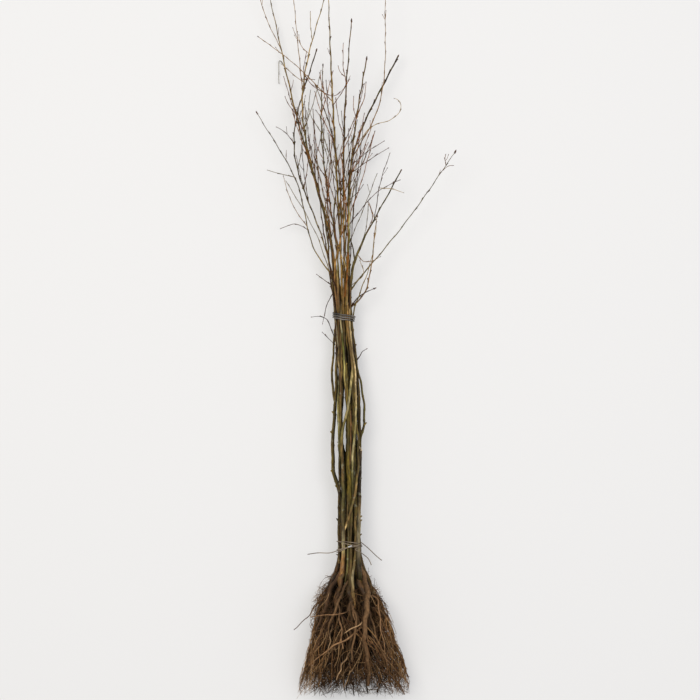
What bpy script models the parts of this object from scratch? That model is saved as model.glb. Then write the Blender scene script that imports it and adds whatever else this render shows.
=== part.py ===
"""A bundle of bare-rooted English oak whips, tied twice with wire and laid on the floor.

The whips lie along Y, with their roots at -Y and their bare twigs at +Y. Sizes are in millimetres, in
the bundle's own terms: across is to the right, along is the way from the root collar to the tips, and up
is the height over the floor. A place is always (across, along, up)."""

import math
from typing import NamedTuple

import bmesh
import bpy
import numpy as np

# Driving dimensions
METRE = 1000.0
COLLAR_Y = -735.0  # where the root collar lies, so that the origin is under the middle of the bundle
CROWN_BASE = 985.0  # the stems end here and their crowns of twigs go on
UPPER_TIE_ALONG = 790.0
CLEARANCE = 0.3  # between touching pieces
STEM_GAP = 0.8  # between stems pressed together, a little more for their facets
EDGE_STEM_RADIUS = 7.0  # keeps the outer stems within the bundle's edge
FLARE = 1.25  # how much thicker a stem is at the collar than just above it
FLARE_LENGTH = 40.0
TIP_RADIUS = 1.2
TWIG_TIP_RADIUS = 0.8
ROOT_TIP_RADIUS = 1.4
STEM_TAPER = 0.6  # powers of the way left to the tip: below 1, a limb keeps its thickness for longer
BOUGH_TAPER = 0.7
ROOT_TAPER = 0.8

# The bundle's middle line and the half sizes of its section
SECTIONS = (  # along, across, up, half width, half depth
    (-115.0, -14.0, 90.0, 108.0, 56.0),
    (-50.0, -17.0, 90.0, 80.0, 46.0),
    (0.0, -18.0, 88.0, 46.0, 32.0),
    (84.0, -19.0, 88.0, 34.0, 26.0),
    (230.0, -19.0, 84.0, 35.0, 27.0),
    (440.0, -27.0, 80.0, 47.0, 30.0),
    (600.0, -27.0, 76.0, 42.0, 28.0),
    (UPPER_TIE_ALONG, -39.0, 72.0, 31.0, 20.0),
    (960.0, -45.0, 76.0, 46.0, 34.0),
)
# Daylight that shows through the loose middle of the bundle: across, along, half width, half length, and
# the strands that pass on its left
WINDOWS = (
    (-36.0, 468.0, 5.0, 75.0, ("01", "02", "03", "04", "bough_low_left", "bough_low_middle")),
    (-61.0, 380.0, 5.0, 95.0, ("01",)),
)


class Whip(NamedTuple):
    """One whip: its place in the bundle's section (-1 to 1 across and up), its diameter just above the
    collar, the elbow and the tip of its leader, the end of its main root, and its bark's colour."""

    slot: tuple
    thick: float
    elbow: tuple
    tip: tuple
    root: tuple
    bark: str


WHIPS = {
    "01": Whip((-0.95, 0.15), 13, (-196, 1336, 70), (-119, 1626, 120), (-160, -318, 30), "5c5230"),
    "02": Whip((-0.62, -0.62), 17, (-194, 1451, 38), (-279, 1835, 30), (-172, -352, 8), "554a2c"),
    "03": Whip((-0.50, 0.72), 16, (-167, 1479, 150), (-78, 1835, 205), (-106, -322, 110), "6a5a34"),
    "04": Whip((-0.28, 0.00), 14, (-108, 1370, 95), (-102, 1587, 90), (-62, -362, 62), "4c4426"),
    "05": Whip((-0.03, 0.88), 18, (-76, 1541, 190), (-88, 1848, 245), (-18, -330, 150), "66582e"),
    "06": Whip((0.22, 0.08), 19, (-33, 1463, 110), (-13, 1717, 140), (38, -384, 100), "5a4c28"),
    "07": Whip((0.48, 0.74), 17, (-6, 1355, 140), (34, 1593, 190), (72, -340, 128), "6e5c30"),
    "08": Whip((0.60, -0.58), 16, (-8, 1308, 50), (134, 1607, 60), (112, -368, 10), "4f4628"),
    "09": Whip((0.92, 0.12), 15, (58, 1097, 92), (148, 1249, 150), (168, -342, 40), "61532c"),
    "10": Whip((-0.02, -0.80), 14, (-71, 1355, 26), (-130, 1525, 20), (-30, -386, 6), "574c2a"),
}


class LowBough(NamedTuple):
    """A side limb that leaves its whip below the upper tie and is tied in with the stems: its whip, how
    far along it leaves and the angle it faces there (0 to the right, 90 up), its bulge out of the
    bundle, its place in the upper tie's section, its diameter, its elbow and its tip."""

    whip: str
    leaves: float
    faces: float
    bulge: tuple
    slot: tuple
    thick: float
    elbow: tuple
    tip: tuple


LOW_BOUGHS = {
    "bough_low_right": LowBough(
        "09", 395, 10, (28, 500, 88), (1.0, 0.5), 8, (48, 960, 118), (65, 1102, 132)
    ),
    "bough_low_left": LowBough(
        "01", 520, 190, (-74, 640, 68), (-1.0, -0.4), 8, (-128, 1062, 60), (-225, 1225, 45)
    ),
    "bough_low_front": LowBough(
        "03", 120, 95, (1, 262, 121), (0.2, 1.3), 8, (-18, 1100, 150), (4, 1290, 205)
    ),
    "bough_low_middle": LowBough(
        "03", 430, 110, (-44, 600, 100), (-0.3, 1.0), 8, (-92, 1120, 130), (-128, 1310, 190)
    ),
    "bough_low_back": LowBough(
        "08", 330, -60, (8, 520, 52), (0.3, -1.0), 8, (-10, 1120, 32), (30, 1330, 20)
    ),
}


class Shoot(NamedTuple):
    """A shoot that shows by itself: how far along its limb it leaves, its diameter, elbow and tip."""

    leaves: float
    thick: float
    elbow: tuple
    tip: tuple


# The two long boughs that leave the bundle, and how far along each the twigs begin
SIDE_BOUGHS = {
    "left": ("01", Shoot(940, 8, (-192, 1228, 62), (-310, 1428, 75)), 1035),
    "right": ("09", Shoot(886, 8, (160, 1092, 100), (309, 1304, 150)), 1110),
}
# The shoots of each crown, by the whip or bough that carries them
SHOOTS = {
    "01": (
        Shoot(1500, 4, (-160, 1570, 140), (-151, 1612, 160)),
        Shoot(1512, 5, (-208, 1552, 115), (-233, 1575, 125)),
        Shoot(1330, 4, (-226, 1368, 85), (-251, 1381, 95)),
    ),
    "02": (
        Shoot(1625, 4, (-280, 1722, 60), (-307, 1815, 75)),
        Shoot(1570, 3, (-236, 1590, 18), (-240, 1515, 14)),
        Shoot(1420, 4, (-212, 1456, 60), (-222, 1479, 70)),
    ),
    "03": (
        Shoot(1480, 5, (-180, 1640, 120), (-198, 1825, 110)),
        Shoot(1600, 3, (-172, 1630, 185), (-176, 1661, 195)),
        Shoot(1640, 3, (-140, 1690, 215), (-140, 1729, 230)),
    ),
    "04": (
        Shoot(1360, 4, (-138, 1410, 110), (-146, 1437, 125)),
        Shoot(1420, 4, (-85, 1500, 70), (-70, 1560, 60)),
    ),
    "05": (
        Shoot(1452, 5, (-200, 1576, 190), (-305, 1655, 175)),
        Shoot(1440, 4, (-40, 1485, 205), (-20, 1519, 222)),
    ),
    "06": (
        Shoot(1510, 4, (-40, 1570, 150), (-39, 1637, 170)),
        Shoot(1530, 3, (-50, 1550, 105), (-56, 1572, 100)),
    ),
    "07": (
        Shoot(1410, 6, (26, 1470, 130), (31, 1519, 120)),
        Shoot(1400, 3, (-8, 1440, 190), (-7, 1471, 205)),
    ),
    "08": (
        Shoot(1290, 6, (58, 1410, 90), (93, 1829, 120)),
        Shoot(1235, 5, (50, 1286, 30), (105, 1320, 22)),
        Shoot(1262, 4, (40, 1306, 90), (91, 1337, 110)),
        Shoot(1075, 5, (77, 1187, 60), (141, 1218, 70)),
        Shoot(1150, 3, (14, 1188, 90), (25, 1204, 100)),
    ),
    "09": (
        Shoot(1092, 5, (77, 1202, 130), (113, 1297, 185)),
        Shoot(1050, 3, (50, 1110, 150), (36, 1150, 175)),
    ),
    "10": (
        Shoot(1340, 4, (-100, 1400, 14), (-128, 1440, 10)),
    ),
    "left": (
        Shoot(1060, 4, (-185, 1080, 50), (-239, 1064, 40)),
        Shoot(1225, 4, (-240, 1236, 75), (-279, 1247, 90)),
    ),
    "right": (
        Shoot(1258, 4, (274, 1280, 180), (276, 1292, 196)),
        Shoot(1240, 4, (290, 1256, 170), (304, 1256, 176)),
        Shoot(1170, 3, (222, 1176, 140), (228, 1180, 150)),
    ),
}
# The space of the crown's seeded twigs: along, left edge, right edge, top
CROWN_SPACE = (
    (900.0, -105.0, 20.0, 140.0),
    (1107.0, -135.0, 60.0, 200.0),
    (1250.0, -190.0, 75.0, 240.0),
    (1370.0, -215.0, 85.0, 270.0),
    (1480.0, -235.0, 95.0, 285.0),
    (1600.0, -250.0, 100.0, 295.0),
    (1720.0, -215.0, 60.0, 295.0),
    (1848.0, -120.0, 0.0, 280.0),
)
# The space of the roots: along, left edge, right edge, top
ROOT_SPACE = (
    (-400.0, -192.0, 172.0, 120.0),
    (-330.0, -176.0, 168.0, 190.0),
    (-230.0, -150.0, 136.0, 205.0),
    (-90.0, -140.0, 98.0, 195.0),
    (-38.0, -118.0, 74.0, 165.0),
    (10.0, -80.0, 40.0, 135.0),
)

# The seeded side twigs of a crown
CROWN_SEED = 100
TWIGS_PER_CROWN = 15
TWIG_TRIES = 45
TWIG_LENGTH = 45.0  # of the last twig, near the tip
TWIG_REACH = 0.42  # of the leader's length, that the first twig is longer by
TWIG_SPREAD = (16.0, 30.0)  # degrees from the leader, at its foot
TWIG_OPENING = 14.0  # degrees more at its tip
TWIG_RADIUS = 1.1
TWIG_THICKENING = 0.006  # of a twig's length, added to its radius
UPRIGHT = np.array((0.0, 0.9, 0.0))

# The seeded side roots of a whip
ROOT_SEED = 200
ROOTS_PER_WHIP = 9
ROOT_TRIES = 54
ROOT_LENGTH = (70.0, 210.0)
ROOT_SPREAD = (25.0, 70.0)
ROOT_RADIUS = 1.5
ROOT_THICKENING = 0.012
THICKEST_SIDE_ROOT = 4.0
DOWNWARD = np.array((0.0, -0.8, -0.25))

GOLDEN_ANGLE = math.radians(137.5)
WANDER = 0.12  # how far a side limb strays from the way it grows

# How the strands are pressed together: rounds in all, the last of them that only push apart, and the
# shares of the way back to a strand's own line and of its bend that each round takes out
ROUNDS = 600
LAST_ROUNDS = 120
PULL = 0.06
STRAIGHTEN = 0.3

# How finely the solids are cut: steps and points along a limb, and sides of a carrier and of what it
# carries
LEVEL_STEP = 15.0
STEM_RING_STEP = 45.0
ROOT_RING_STEP = 30.0
SHOOT_STEP = 75.0
SHOOT_POINTS = 4  # of the shortest shoot
TWIG_POINTS = 3
BOUGH_POINTS = 14
STEM_SIDES = (6, 3)
LEADER_SIDES = (5, 3)
WIRE_SIDES = (5, 3)
RING_TO_CUT = 5.0  # no ring is nearer to a cut than this

LIFTS = (0, 6, -6, 12, -12, 18, -18, 26, -26, 36, -36, 48, -48)  # tried in turn to pass another limb
FLOOR_EASE = 12.0  # the height over the floor at which a limb that comes down begins to level out
FOOT_ANGLE = math.radians(38)  # between a bough and the stem that it leaves
FOOT_LENGTH = 1.5  # of a bough's thickness, before it bends to its elbow
FOOT_ROOM = 20.0  # between where a tied-in bough leaves its stem and where it lies beside it

WIRE_RADIUS = 1.3
WIRE_CLEARANCE = 0.45  # off the bark, a little more than between flat pieces for the wire's facets
WIRE_STEP = math.radians(24)  # of a turn, between one point of a wire and the next on the same stem
FRONT = math.radians(90)  # the upper side of the bundle as it lies


class Tie(NamedTuple):
    """A wire round the bundle: how far along it starts and how far each turn moves it on, the angle at
    which its turns start and how far round they go, and the places of its loose ends."""

    along: float
    pitch: float
    start: float
    sweep: float
    first_end: tuple
    last_end: tuple


TIES = {
    "upper_tie": Tie(781, 6.5, -FRONT, math.radians(1080), (), ()),
    "lower_tie": Tie(
        86,
        7,
        math.radians(102),
        math.radians(-462),
        ((-149, 42, 90), (-118, 50, 99), (-78, 55, 109), (-58, 64, 118), (-40, 75, 122)),
        ((32, 84, 92), (44, 74, 92), (60, 60, 90), (79, 46, 86)),
    ),
    "lower_tie_second": Tie(
        78,
        -5,
        math.radians(80),
        math.radians(350),
        (),
        ((-2, 69, 119), (10, 60, 117), (24, 48, 114), (37, 34, 112), (47, 12, 106)),
    ),
}
WIRE_COLOUR = "5a6068"
BOUGH_COLOUR = "665430"
TWIG_COLOUR = "6b4a2a"
ROOT_COLOUR = "4a3424"


def linear(colour):
    """The linear colour of an sRGB hex value."""
    channels = [int(colour[i : i + 2], 16) / 255 for i in (0, 2, 4)]
    return [c / 12.92 if c < 0.04045 else ((c + 0.055) / 1.055) ** 2.4 for c in channels] + [1.0]


def material(name, colour, roughness, metallic=0.0):
    """A plain finish: one colour, one roughness."""
    made = bpy.data.materials.new(name)
    made.use_nodes = True
    shader = made.node_tree.nodes["Principled BSDF"]
    shader.inputs["Base Color"].default_value = linear(colour)
    shader.inputs["Roughness"].default_value = roughness
    shader.inputs["Metallic"].default_value = metallic
    return made


def smooth(places, values, at):
    """Values at the places asked for, on a curve through the given ones: a cubic between neighbours,
    whose slope at each is read from the two beside it."""
    places = np.asarray(places, float)
    values = np.asarray(values, float)
    at = np.clip(np.asarray(at, float), places[0], places[-1])
    slopes = np.gradient(values, places, axis=0)
    k = np.clip(np.searchsorted(places, at) - 1, 0, len(places) - 2)
    span = places[k + 1] - places[k]
    t = (at - places[k]) / span
    if values.ndim > 1:
        span, t = span[..., None], t[..., None]
    rise = values[k + 1] - values[k]
    bend_in = slopes[k] * span - rise
    bend_out = rise - slopes[k + 1] * span
    return values[k] + t * rise + t * (1 - t) * (bend_in * (1 - t) + bend_out * t)


def curve_through(places, count):
    """Points on a smooth curve through a few places, evenly spaced in the way between them."""
    places = np.asarray(places, float)
    way = np.concatenate([[0], np.cumsum(np.linalg.norm(np.diff(places, axis=0), axis=1))])
    return smooth(way, places, np.linspace(0, way[-1], count))


def section_at(along):
    """The bundle's section at some places along it: its middle across and up, and its half sizes."""
    rows = np.array(SECTIONS)
    return smooth(rows[:, 0], rows[:, 1:], along)


def place_in_section(slot, along):
    """Across and up of a slot of the bundle's section, given as -1 to 1 each way."""
    across, up, half_width, half_depth = section_at(along)
    half_width, half_depth = half_width - EDGE_STEM_RADIUS, half_depth - EDGE_STEM_RADIUS
    return across + slot[0] * half_width, up + slot[1] * half_depth


def whip_target(whip, levels):
    """Where a whip would run with no other in its way: across and up at each level from the end of its
    main root, through its slot in the bundle, to the tip of its leader."""
    stations = [(whip.root[1], whip.root[0], whip.root[2])]
    for along in [row[0] for row in SECTIONS]:
        stations.append((along, *place_in_section(whip.slot, along)))
    for across, along, up in (whip.elbow, whip.tip):
        stations.append((along, across, up))
    stations = np.array(stations)
    return smooth(stations[:, 0], stations[:, 1:], levels)


def whip_radius(whip, levels):
    """A whip's radius: it tapers to its tip above the collar, swells at the collar, and tapers again
    along its main root."""
    levels = np.asarray(levels, float)
    above = np.clip(1 - levels / whip.tip[1], 0, 1) ** STEM_TAPER
    below = np.clip(1 - levels / whip.root[1], 0, 1) ** ROOT_TAPER
    full = whip.thick / 2
    swell = 1 + (FLARE - 1) * np.exp(-np.clip(levels, 0, None) / FLARE_LENGTH)
    stem = TIP_RADIUS + (full - TIP_RADIUS) * above * swell
    root = ROOT_TIP_RADIUS + (full * FLARE - ROOT_TIP_RADIUS) * below
    return np.where(levels >= 0, stem, root)


def low_bough_target(bough, carrier, levels):
    """Where a tied-in side limb would run: from beside its whip, out to its bulge, into its slot in the
    upper tie, and on to its tip."""
    faces = math.radians(bough.faces)
    off = np.array([math.cos(faces), math.sin(faces)]) * (carrier.thick + bough.thick) / 2
    beside = whip_target(carrier, np.array([bough.leaves]))[0] + off
    bulge_across, bulge_along, bulge_up = bough.bulge
    stations = [
        (bough.leaves, *beside),
        (bulge_along, bulge_across, bulge_up),
        (UPPER_TIE_ALONG, *place_in_section(bough.slot, UPPER_TIE_ALONG)),
        (bough.elbow[1], bough.elbow[0], bough.elbow[2]),
        (bough.tip[1], bough.tip[0], bough.tip[2]),
    ]
    stations = np.array(stations)
    return smooth(stations[:, 0], stations[:, 1:], levels)


def low_bough_radius(bough, levels):
    """The radius of a tied-in side limb, from where it leaves to its tip."""
    way = np.clip((levels - bough.leaves) / (bough.tip[1] - bough.leaves), 0, 1)
    return TWIG_TIP_RADIUS + (bough.thick / 2 - TWIG_TIP_RADIUS) * (1 - way) ** BOUGH_TAPER


def keep_windows(places, strands, radii, levels):
    """Moves the centres sideways out of the windows of daylight, each to the side it passes on."""
    for across, along, half_width, half_length, on_left in WINDOWS:
        inside = np.clip(1 - ((levels - along) / half_length) ** 2, 0, None)
        half = half_width * np.sqrt(inside)
        side = np.array([-1.0 if strand in on_left else 1.0 for strand in strands])[:, None]
        off = (places[..., 0] - across) * side
        short = np.where(inside > 0, radii + half - off, 0)
        places[..., 0] += side * np.clip(short, 0, None)


def settle(strands, target, radii, present, levels):
    """Presses the strands of the bundle together without letting them overlap. At each level their
    centres are pushed apart, drawn back to where they would run alone, and smoothed along."""
    places = target.copy()
    slope = np.gradient(target, levels, axis=1)
    wide = radii * np.sqrt(1 + (slope**2).sum(axis=2))
    both = present[:, None] & present[None]
    both &= ~np.eye(len(target), dtype=bool)[:, :, None]
    need = wide[:, None] + wide[None] + STEM_GAP
    inner = present[:, :-2] & present[:, 1:-1] & present[:, 2:]
    for sweep in range(ROUNDS):
        if sweep < ROUNDS - LAST_ROUNDS:
            places += PULL * (target - places)
            bend = places[:, :-2] + places[:, 2:] - 2 * places[:, 1:-1]
            places[:, 1:-1] += np.where(inner[..., None], STRAIGHTEN * bend, 0)
            keep_windows(places, strands, radii, levels)
        apart = places[:, None] - places[None]
        distance = np.maximum(np.linalg.norm(apart, axis=3), 1e-6)
        over = np.where(both, np.clip(need - distance, 0, None), 0)
        places += 0.5 * (apart / distance[..., None] * over[..., None]).sum(axis=1)
        places[..., 1] = np.maximum(places[..., 1], wide)
    return places


class Limb:
    """A tapering limb: its middle line, its radius and its heading at each point, and the direction that
    its foot faces, where that is cut to lie against the stem that carries it."""

    def __init__(self, points, radii, headings=None, foot=None):
        self.points = np.asarray(points, float)
        self.radii = np.asarray(radii, float)
        self.foot = foot
        if headings is None:
            headings = np.gradient(self.points, axis=0)
            headings /= np.linalg.norm(headings, axis=1)[:, None]
        self.headings = headings

    def at(self, along):
        """The place, radius and heading where the limb passes a given place along the bundle."""
        ways = self.points[:, 1]
        place = np.array([np.interp(along, ways, self.points[:, i]) for i in range(3)])
        heading = np.array([np.interp(along, ways, self.headings[:, i]) for i in range(3)])
        return place, np.interp(along, ways, self.radii), heading / np.linalg.norm(heading)

    def split(self, along):
        """The limb below and above a place along the bundle, cut square with the clearance between."""
        place, radius, heading = self.at(along)
        half = heading * CLEARANCE / 2
        below = self.points[:, 1] < along - RING_TO_CUT
        above = self.points[:, 1] > along + RING_TO_CUT
        first = Limb(
            np.vstack([self.points[below], place - half]),
            np.append(self.radii[below], radius),
            np.vstack([self.headings[below], heading]),
            self.foot,
        )
        second = Limb(
            np.vstack([place + half, self.points[above]]),
            np.append(radius, self.radii[above]),
            np.vstack([heading, self.headings[above]]),
        )
        return first, second


def distances(starts, ends, other_starts, other_ends):
    """The least distance between each rod of one set and each of another, all straight."""
    u = (ends - starts)[:, None]
    v = (other_ends - other_starts)[None]
    w = starts[:, None] - other_starts[None]
    a, b, c = (u * u).sum(-1), (u * v).sum(-1), (v * v).sum(-1)
    d, e = (u * w).sum(-1), (v * w).sum(-1)
    s = np.clip((b * e - c * d) / np.maximum(a * c - b * b, 1e-9), 0, 1)
    t = np.clip((b * s + e) / np.maximum(c, 1e-9), 0, 1)
    s = np.clip((b * t - d) / np.maximum(a, 1e-9), 0, 1)
    return np.linalg.norm(w + s[..., None] * u - t[..., None] * v, axis=-1)


class Space:
    """The limbs made so far, as rods, to tell whether a new one would touch another piece."""

    def __init__(self):
        self.rods = []

    def add(self, piece, limb):
        radii = np.maximum(limb.radii[:-1], limb.radii[1:])
        for start, end, radius in zip(limb.points[:-1], limb.points[1:], radii):
            self.rods.append((piece, start, end, radius))

    def room(self, limb, but=()):
        """The least gap between a new limb and every limb here but those of the given pieces."""
        others = [rod for rod in self.rods if rod[0] not in but]
        starts = np.array([rod[1] for rod in others])
        ends = np.array([rod[2] for rod in others])
        radii = np.array([rod[3] for rod in others])
        own = np.maximum(limb.radii[:-1], limb.radii[1:])
        gaps = distances(limb.points[:-1], limb.points[1:], starts, ends) - own[:, None] - radii[None]
        return gaps.min()


def inside(space_rows, points):
    """Whether every point lies in the space between the edges, given at places along the bundle."""
    rows = np.array(space_rows)
    left, right, top = (np.interp(points[:, 1], rows[:, 0], rows[:, i]) for i in (1, 2, 3))
    across, along, up = points.T
    ends = (along > rows[0, 0]) & (along < rows[-1, 0])
    return bool((ends & (across > left) & (across < right) & (up < top)).all())


def on_floor(points, radii):
    """The points lifted where the limb would pass through the floor, so that it bends and lies on it."""
    above = points[:, 2] - radii
    eased = FLOOR_EASE * np.exp(np.minimum(above / FLOOR_EASE - 1, 0))
    lifted = points.copy()
    lifted[:, 2] = radii + np.maximum(above, eased)
    return lifted


def taper(thick, tip_radius, count):
    """Radii from a thick end to a tip, shrinking a little faster towards the tip."""
    return tip_radius + (thick - tip_radius) * np.linspace(1, 0, count) ** BOUGH_TAPER


def shoot_limb(carrier, shoot):
    """A shoot that leaves its limb's middle line and passes its elbow on the way to its tip."""
    start, radius, _ = carrier.at(shoot.leaves)
    count = SHOOT_POINTS + int(np.linalg.norm(shoot.tip - start) / SHOOT_STEP)
    line = curve_through([start, shoot.elbow, shoot.tip], count)
    radii = taper(min(shoot.thick / 2, 0.8 * radius), TWIG_TIP_RADIUS, count)
    return Limb(on_floor(line, radii), radii)


def bough_limb(carrier, shoot):
    """A bough whose foot lies against its stem: it leaves at the foot's angle, then passes its elbow on
    the way to its tip."""
    place, stem_radius, heading = carrier.at(shoot.leaves)
    out = np.asarray(shoot.elbow, float) - place
    out -= heading * out.dot(heading)
    out /= np.linalg.norm(out)
    start = place + out * (stem_radius + CLEARANCE)
    first = out * math.sin(FOOT_ANGLE) + heading * math.cos(FOOT_ANGLE)
    foot_end = start + FOOT_LENGTH * shoot.thick * first
    line = curve_through([start, foot_end, shoot.elbow, shoot.tip], BOUGH_POINTS)
    radii = taper(shoot.thick / 2, TWIG_TIP_RADIUS, BOUGH_POINTS)
    limb = Limb(on_floor(line, radii), radii)
    limb.headings[0] = first
    limb.foot = out
    return limb


def with_foot(carrier, strand):
    """A tied-in bough's strand with a foot added, which lies against its stem where they are side by
    side."""
    beside = strand.points[0]
    place, stem_radius, heading = carrier.at(beside[1])
    out = beside - place
    out -= heading * out.dot(heading)
    out /= np.linalg.norm(out)
    back = (strand.radii[0] + STEM_GAP) / math.tan(FOOT_ANGLE)
    place, stem_radius, heading = carrier.at(beside[1] - back)
    start = place + out * (stem_radius + CLEARANCE)
    first = out * math.sin(FOOT_ANGLE) + heading * math.cos(FOOT_ANGLE)
    return Limb(
        np.vstack([start, strand.points]),
        np.append(strand.radii[0], strand.radii),
        np.vstack([first, strand.headings]),
        out,
    )


def clear_limb(make, carrier, shoot, space, but):
    """The limb of a shoot, raised or lowered by the least that takes it past every other piece, or
    nothing where no lift does."""
    for lift in LIFTS:
        up = np.array((0.0, 0.0, lift))
        limb = make(carrier, shoot._replace(elbow=shoot.elbow + up, tip=shoot.tip + up))
        if space.room(limb, but) > CLEARANCE:
            return limb
    return None


def side_limb(rng, carrier, way, turn, length, spread, towards, radius, tip_radius):
    """A side twig or rootlet. It leaves its carrier at a share of its length, turned about it and spread
    from its heading by the given angles, and bends half way to the direction that it grows towards."""
    place = way * (len(carrier.points) - 1)
    k = min(int(place), len(carrier.points) - 2)
    part = place - k
    start = carrier.points[k] * (1 - part) + carrier.points[k + 1] * part
    heading = carrier.headings[k]
    side = np.cross(heading, (0.0, 0.0, 1.0))
    side /= np.linalg.norm(side)
    other = np.cross(heading, side)
    out = side * math.cos(turn) + other * math.sin(turn)
    leaves = heading * math.cos(spread) + out * math.sin(spread)
    ends = leaves + towards + rng.normal(0, WANDER, 3)
    ends /= np.linalg.norm(ends)
    t = np.linspace(0, 1, TWIG_POINTS)[:, None]
    line = start + length * (leaves * (t - t * t / 2) + ends * t * t / 2)
    radii = tip_radius + (radius - tip_radius) * (1 - t[:, 0]) ** ROOT_TAPER
    return Limb(on_floor(line, radii), radii)


def crown_twigs(rng, piece, pieces, space):
    """The seeded twigs of one crown: each next one is a golden angle further round the leader, shorter
    towards the tip and drawn upright, and it is skipped where it would leave the crown or touch."""
    limbs = pieces[piece]
    leader = limbs[0]
    reach = leader.points[-1][1] - leader.points[0][1]
    found = 0
    for k in range(TWIG_TRIES):
        way = 0.04 + 0.9 * (k + 0.5) / TWIG_TRIES
        length = rng.uniform(0.5, 1.0) * (TWIG_LENGTH + TWIG_REACH * reach * (1 - way))
        spread = math.radians(rng.uniform(*TWIG_SPREAD) + TWIG_OPENING * way)
        turn = k * GOLDEN_ANGLE + rng.uniform(-0.4, 0.4)
        radius = TWIG_RADIUS + TWIG_THICKENING * length
        twig = side_limb(rng, leader, way, turn, length, spread, UPRIGHT, radius, TWIG_TIP_RADIUS)
        fits = inside(CROWN_SPACE, twig.points) and space.room(twig, (piece,)) > CLEARANCE
        if fits and found < TWIGS_PER_CROWN:
            space.add(piece, twig)
            limbs.append(twig)
            found += 1


def side_roots(rng, piece, pieces, space):
    """The seeded side roots of one whip: they spread from its main root, down and away from it, and are
    skipped where they would leave the root space or touch another piece."""
    limbs = pieces[piece]
    found = 0
    for k in range(ROOT_TRIES):
        way = 0.1 + 0.75 * rng.random()
        length = rng.uniform(*ROOT_LENGTH) * (1 - 0.5 * way)
        spread = math.radians(rng.uniform(*ROOT_SPREAD))
        turn = k * GOLDEN_ANGLE + rng.uniform(-0.5, 0.5)
        radius = min(ROOT_RADIUS + ROOT_THICKENING * length, THICKEST_SIDE_ROOT)
        root = side_limb(rng, limbs[0], way, turn, length, spread, DOWNWARD, radius, ROOT_TIP_RADIUS)
        fits = inside(ROOT_SPACE, root.points) and space.room(root, (piece,)) > CLEARANCE
        if fits and found < ROOTS_PER_WHIP:
            space.add(piece, root)
            limbs.append(root)
            found += 1


def frames(limb):
    """Two directions square to the limb at each point, carried along it without twisting."""
    side = np.cross(limb.headings[0], (0.0, 0.0, 1.0))
    if np.linalg.norm(side) < 0.1:
        side = np.cross(limb.headings[0], (1.0, 0.0, 0.0))
    sides = []
    for heading in limb.headings:
        side = side - heading * side.dot(heading)
        side = side / np.linalg.norm(side)
        sides.append(side)
    sides = np.array(sides)
    return sides, np.cross(limb.headings, sides)


def tube_mesh(name, limb, sides):
    """A closed tube round the limb's middle line, in metres, with a flat cut at each end."""
    across, over = frames(limb)
    turn = np.arange(sides) * 2 * math.pi / sides
    ring = across[:, None] * np.cos(turn)[None, :, None] + over[:, None] * np.sin(turn)[None, :, None]
    points = limb.points[:, None] + ring * limb.radii[:, None, None]
    if limb.foot is not None:
        off = (points[0] - limb.points[0]) @ limb.foot
        points[0] -= limb.headings[0] * (off / limb.headings[0].dot(limb.foot))[:, None]
    points = points.reshape(-1, 3) + (0.0, COLLAR_Y, 0.0)
    count = len(limb.points)
    faces = []
    for i in range(count - 1):
        for j in range(sides):
            k = (j + 1) % sides
            faces.append((i * sides + j, i * sides + k, (i + 1) * sides + k, (i + 1) * sides + j))
    faces.append(tuple(range(sides))[::-1])
    faces.append(tuple((count - 1) * sides + j for j in range(sides)))
    mesh = bpy.data.meshes.new(name)
    mesh.from_pydata((points / METRE).tolist(), [], faces)
    mesh.update()
    return mesh


def outer_shell(mesh):
    """The mesh with only its largest part kept, of faces joined edge to edge, which fills a hollow
    sealed by the fusing and drops a loose scrap."""
    work = bmesh.new()
    work.from_mesh(mesh)
    parts = []
    left = set(work.faces)
    while left:
        part = front = {left.pop()}
        while front:
            front = {near for face in front for edge in face.edges for near in edge.link_faces} & left
            left -= front
            part = part | front
        parts.append(part)
    biggest = max(parts, key=len)
    bmesh.ops.delete(work, geom=[face for face in work.faces if face not in biggest], context="FACES")
    work.to_mesh(mesh)
    work.free()
    return mesh


def add_piece(name, limbs, sides, finish):
    """One piece: its first limb, with the others fused into it by a Boolean union."""
    piece = bpy.data.objects.new(name, tube_mesh(name, limbs[0], sides[0]))
    bpy.context.scene.collection.objects.link(piece)
    if len(limbs) > 1:
        helpers = bpy.data.collections.new(name + "_side_limbs")
        bpy.context.scene.collection.children.link(helpers)
        for limb in limbs[1:]:
            helper = bpy.data.objects.new(name + "_side", tube_mesh(name + "_side", limb, sides[1]))
            helpers.objects.link(helper)
        union = piece.modifiers.new("Side limbs", "BOOLEAN")
        union.operation = "UNION"
        union.operand_type = "COLLECTION"
        union.solver = "MANIFOLD"  # the exact one leaves a sealed hollow where three twigs cross
        union.collection = helpers
        graph = bpy.context.evaluated_depsgraph_get()
        fused = bpy.data.meshes.new_from_object(piece.evaluated_get(graph))
        piece.modifiers.clear()
        piece.data = outer_shell(fused)
        for helper in list(helpers.objects):
            bpy.data.objects.remove(helper)
        bpy.data.collections.remove(helpers)
    piece.data.materials.clear()
    piece.data.materials.append(finish)
    piece.data.shade_smooth()
    return piece


def sections(limbs, along):
    """Across, up and radius of every strand that passes a place along the bundle."""
    found = []
    for limb in limbs:
        if limb.points[0, 1] < along < limb.points[-1, 1]:
            place, radius, heading = limb.at(along)
            found.append((place[0], place[2], radius / heading[1]))
    return np.array(found)


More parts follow.
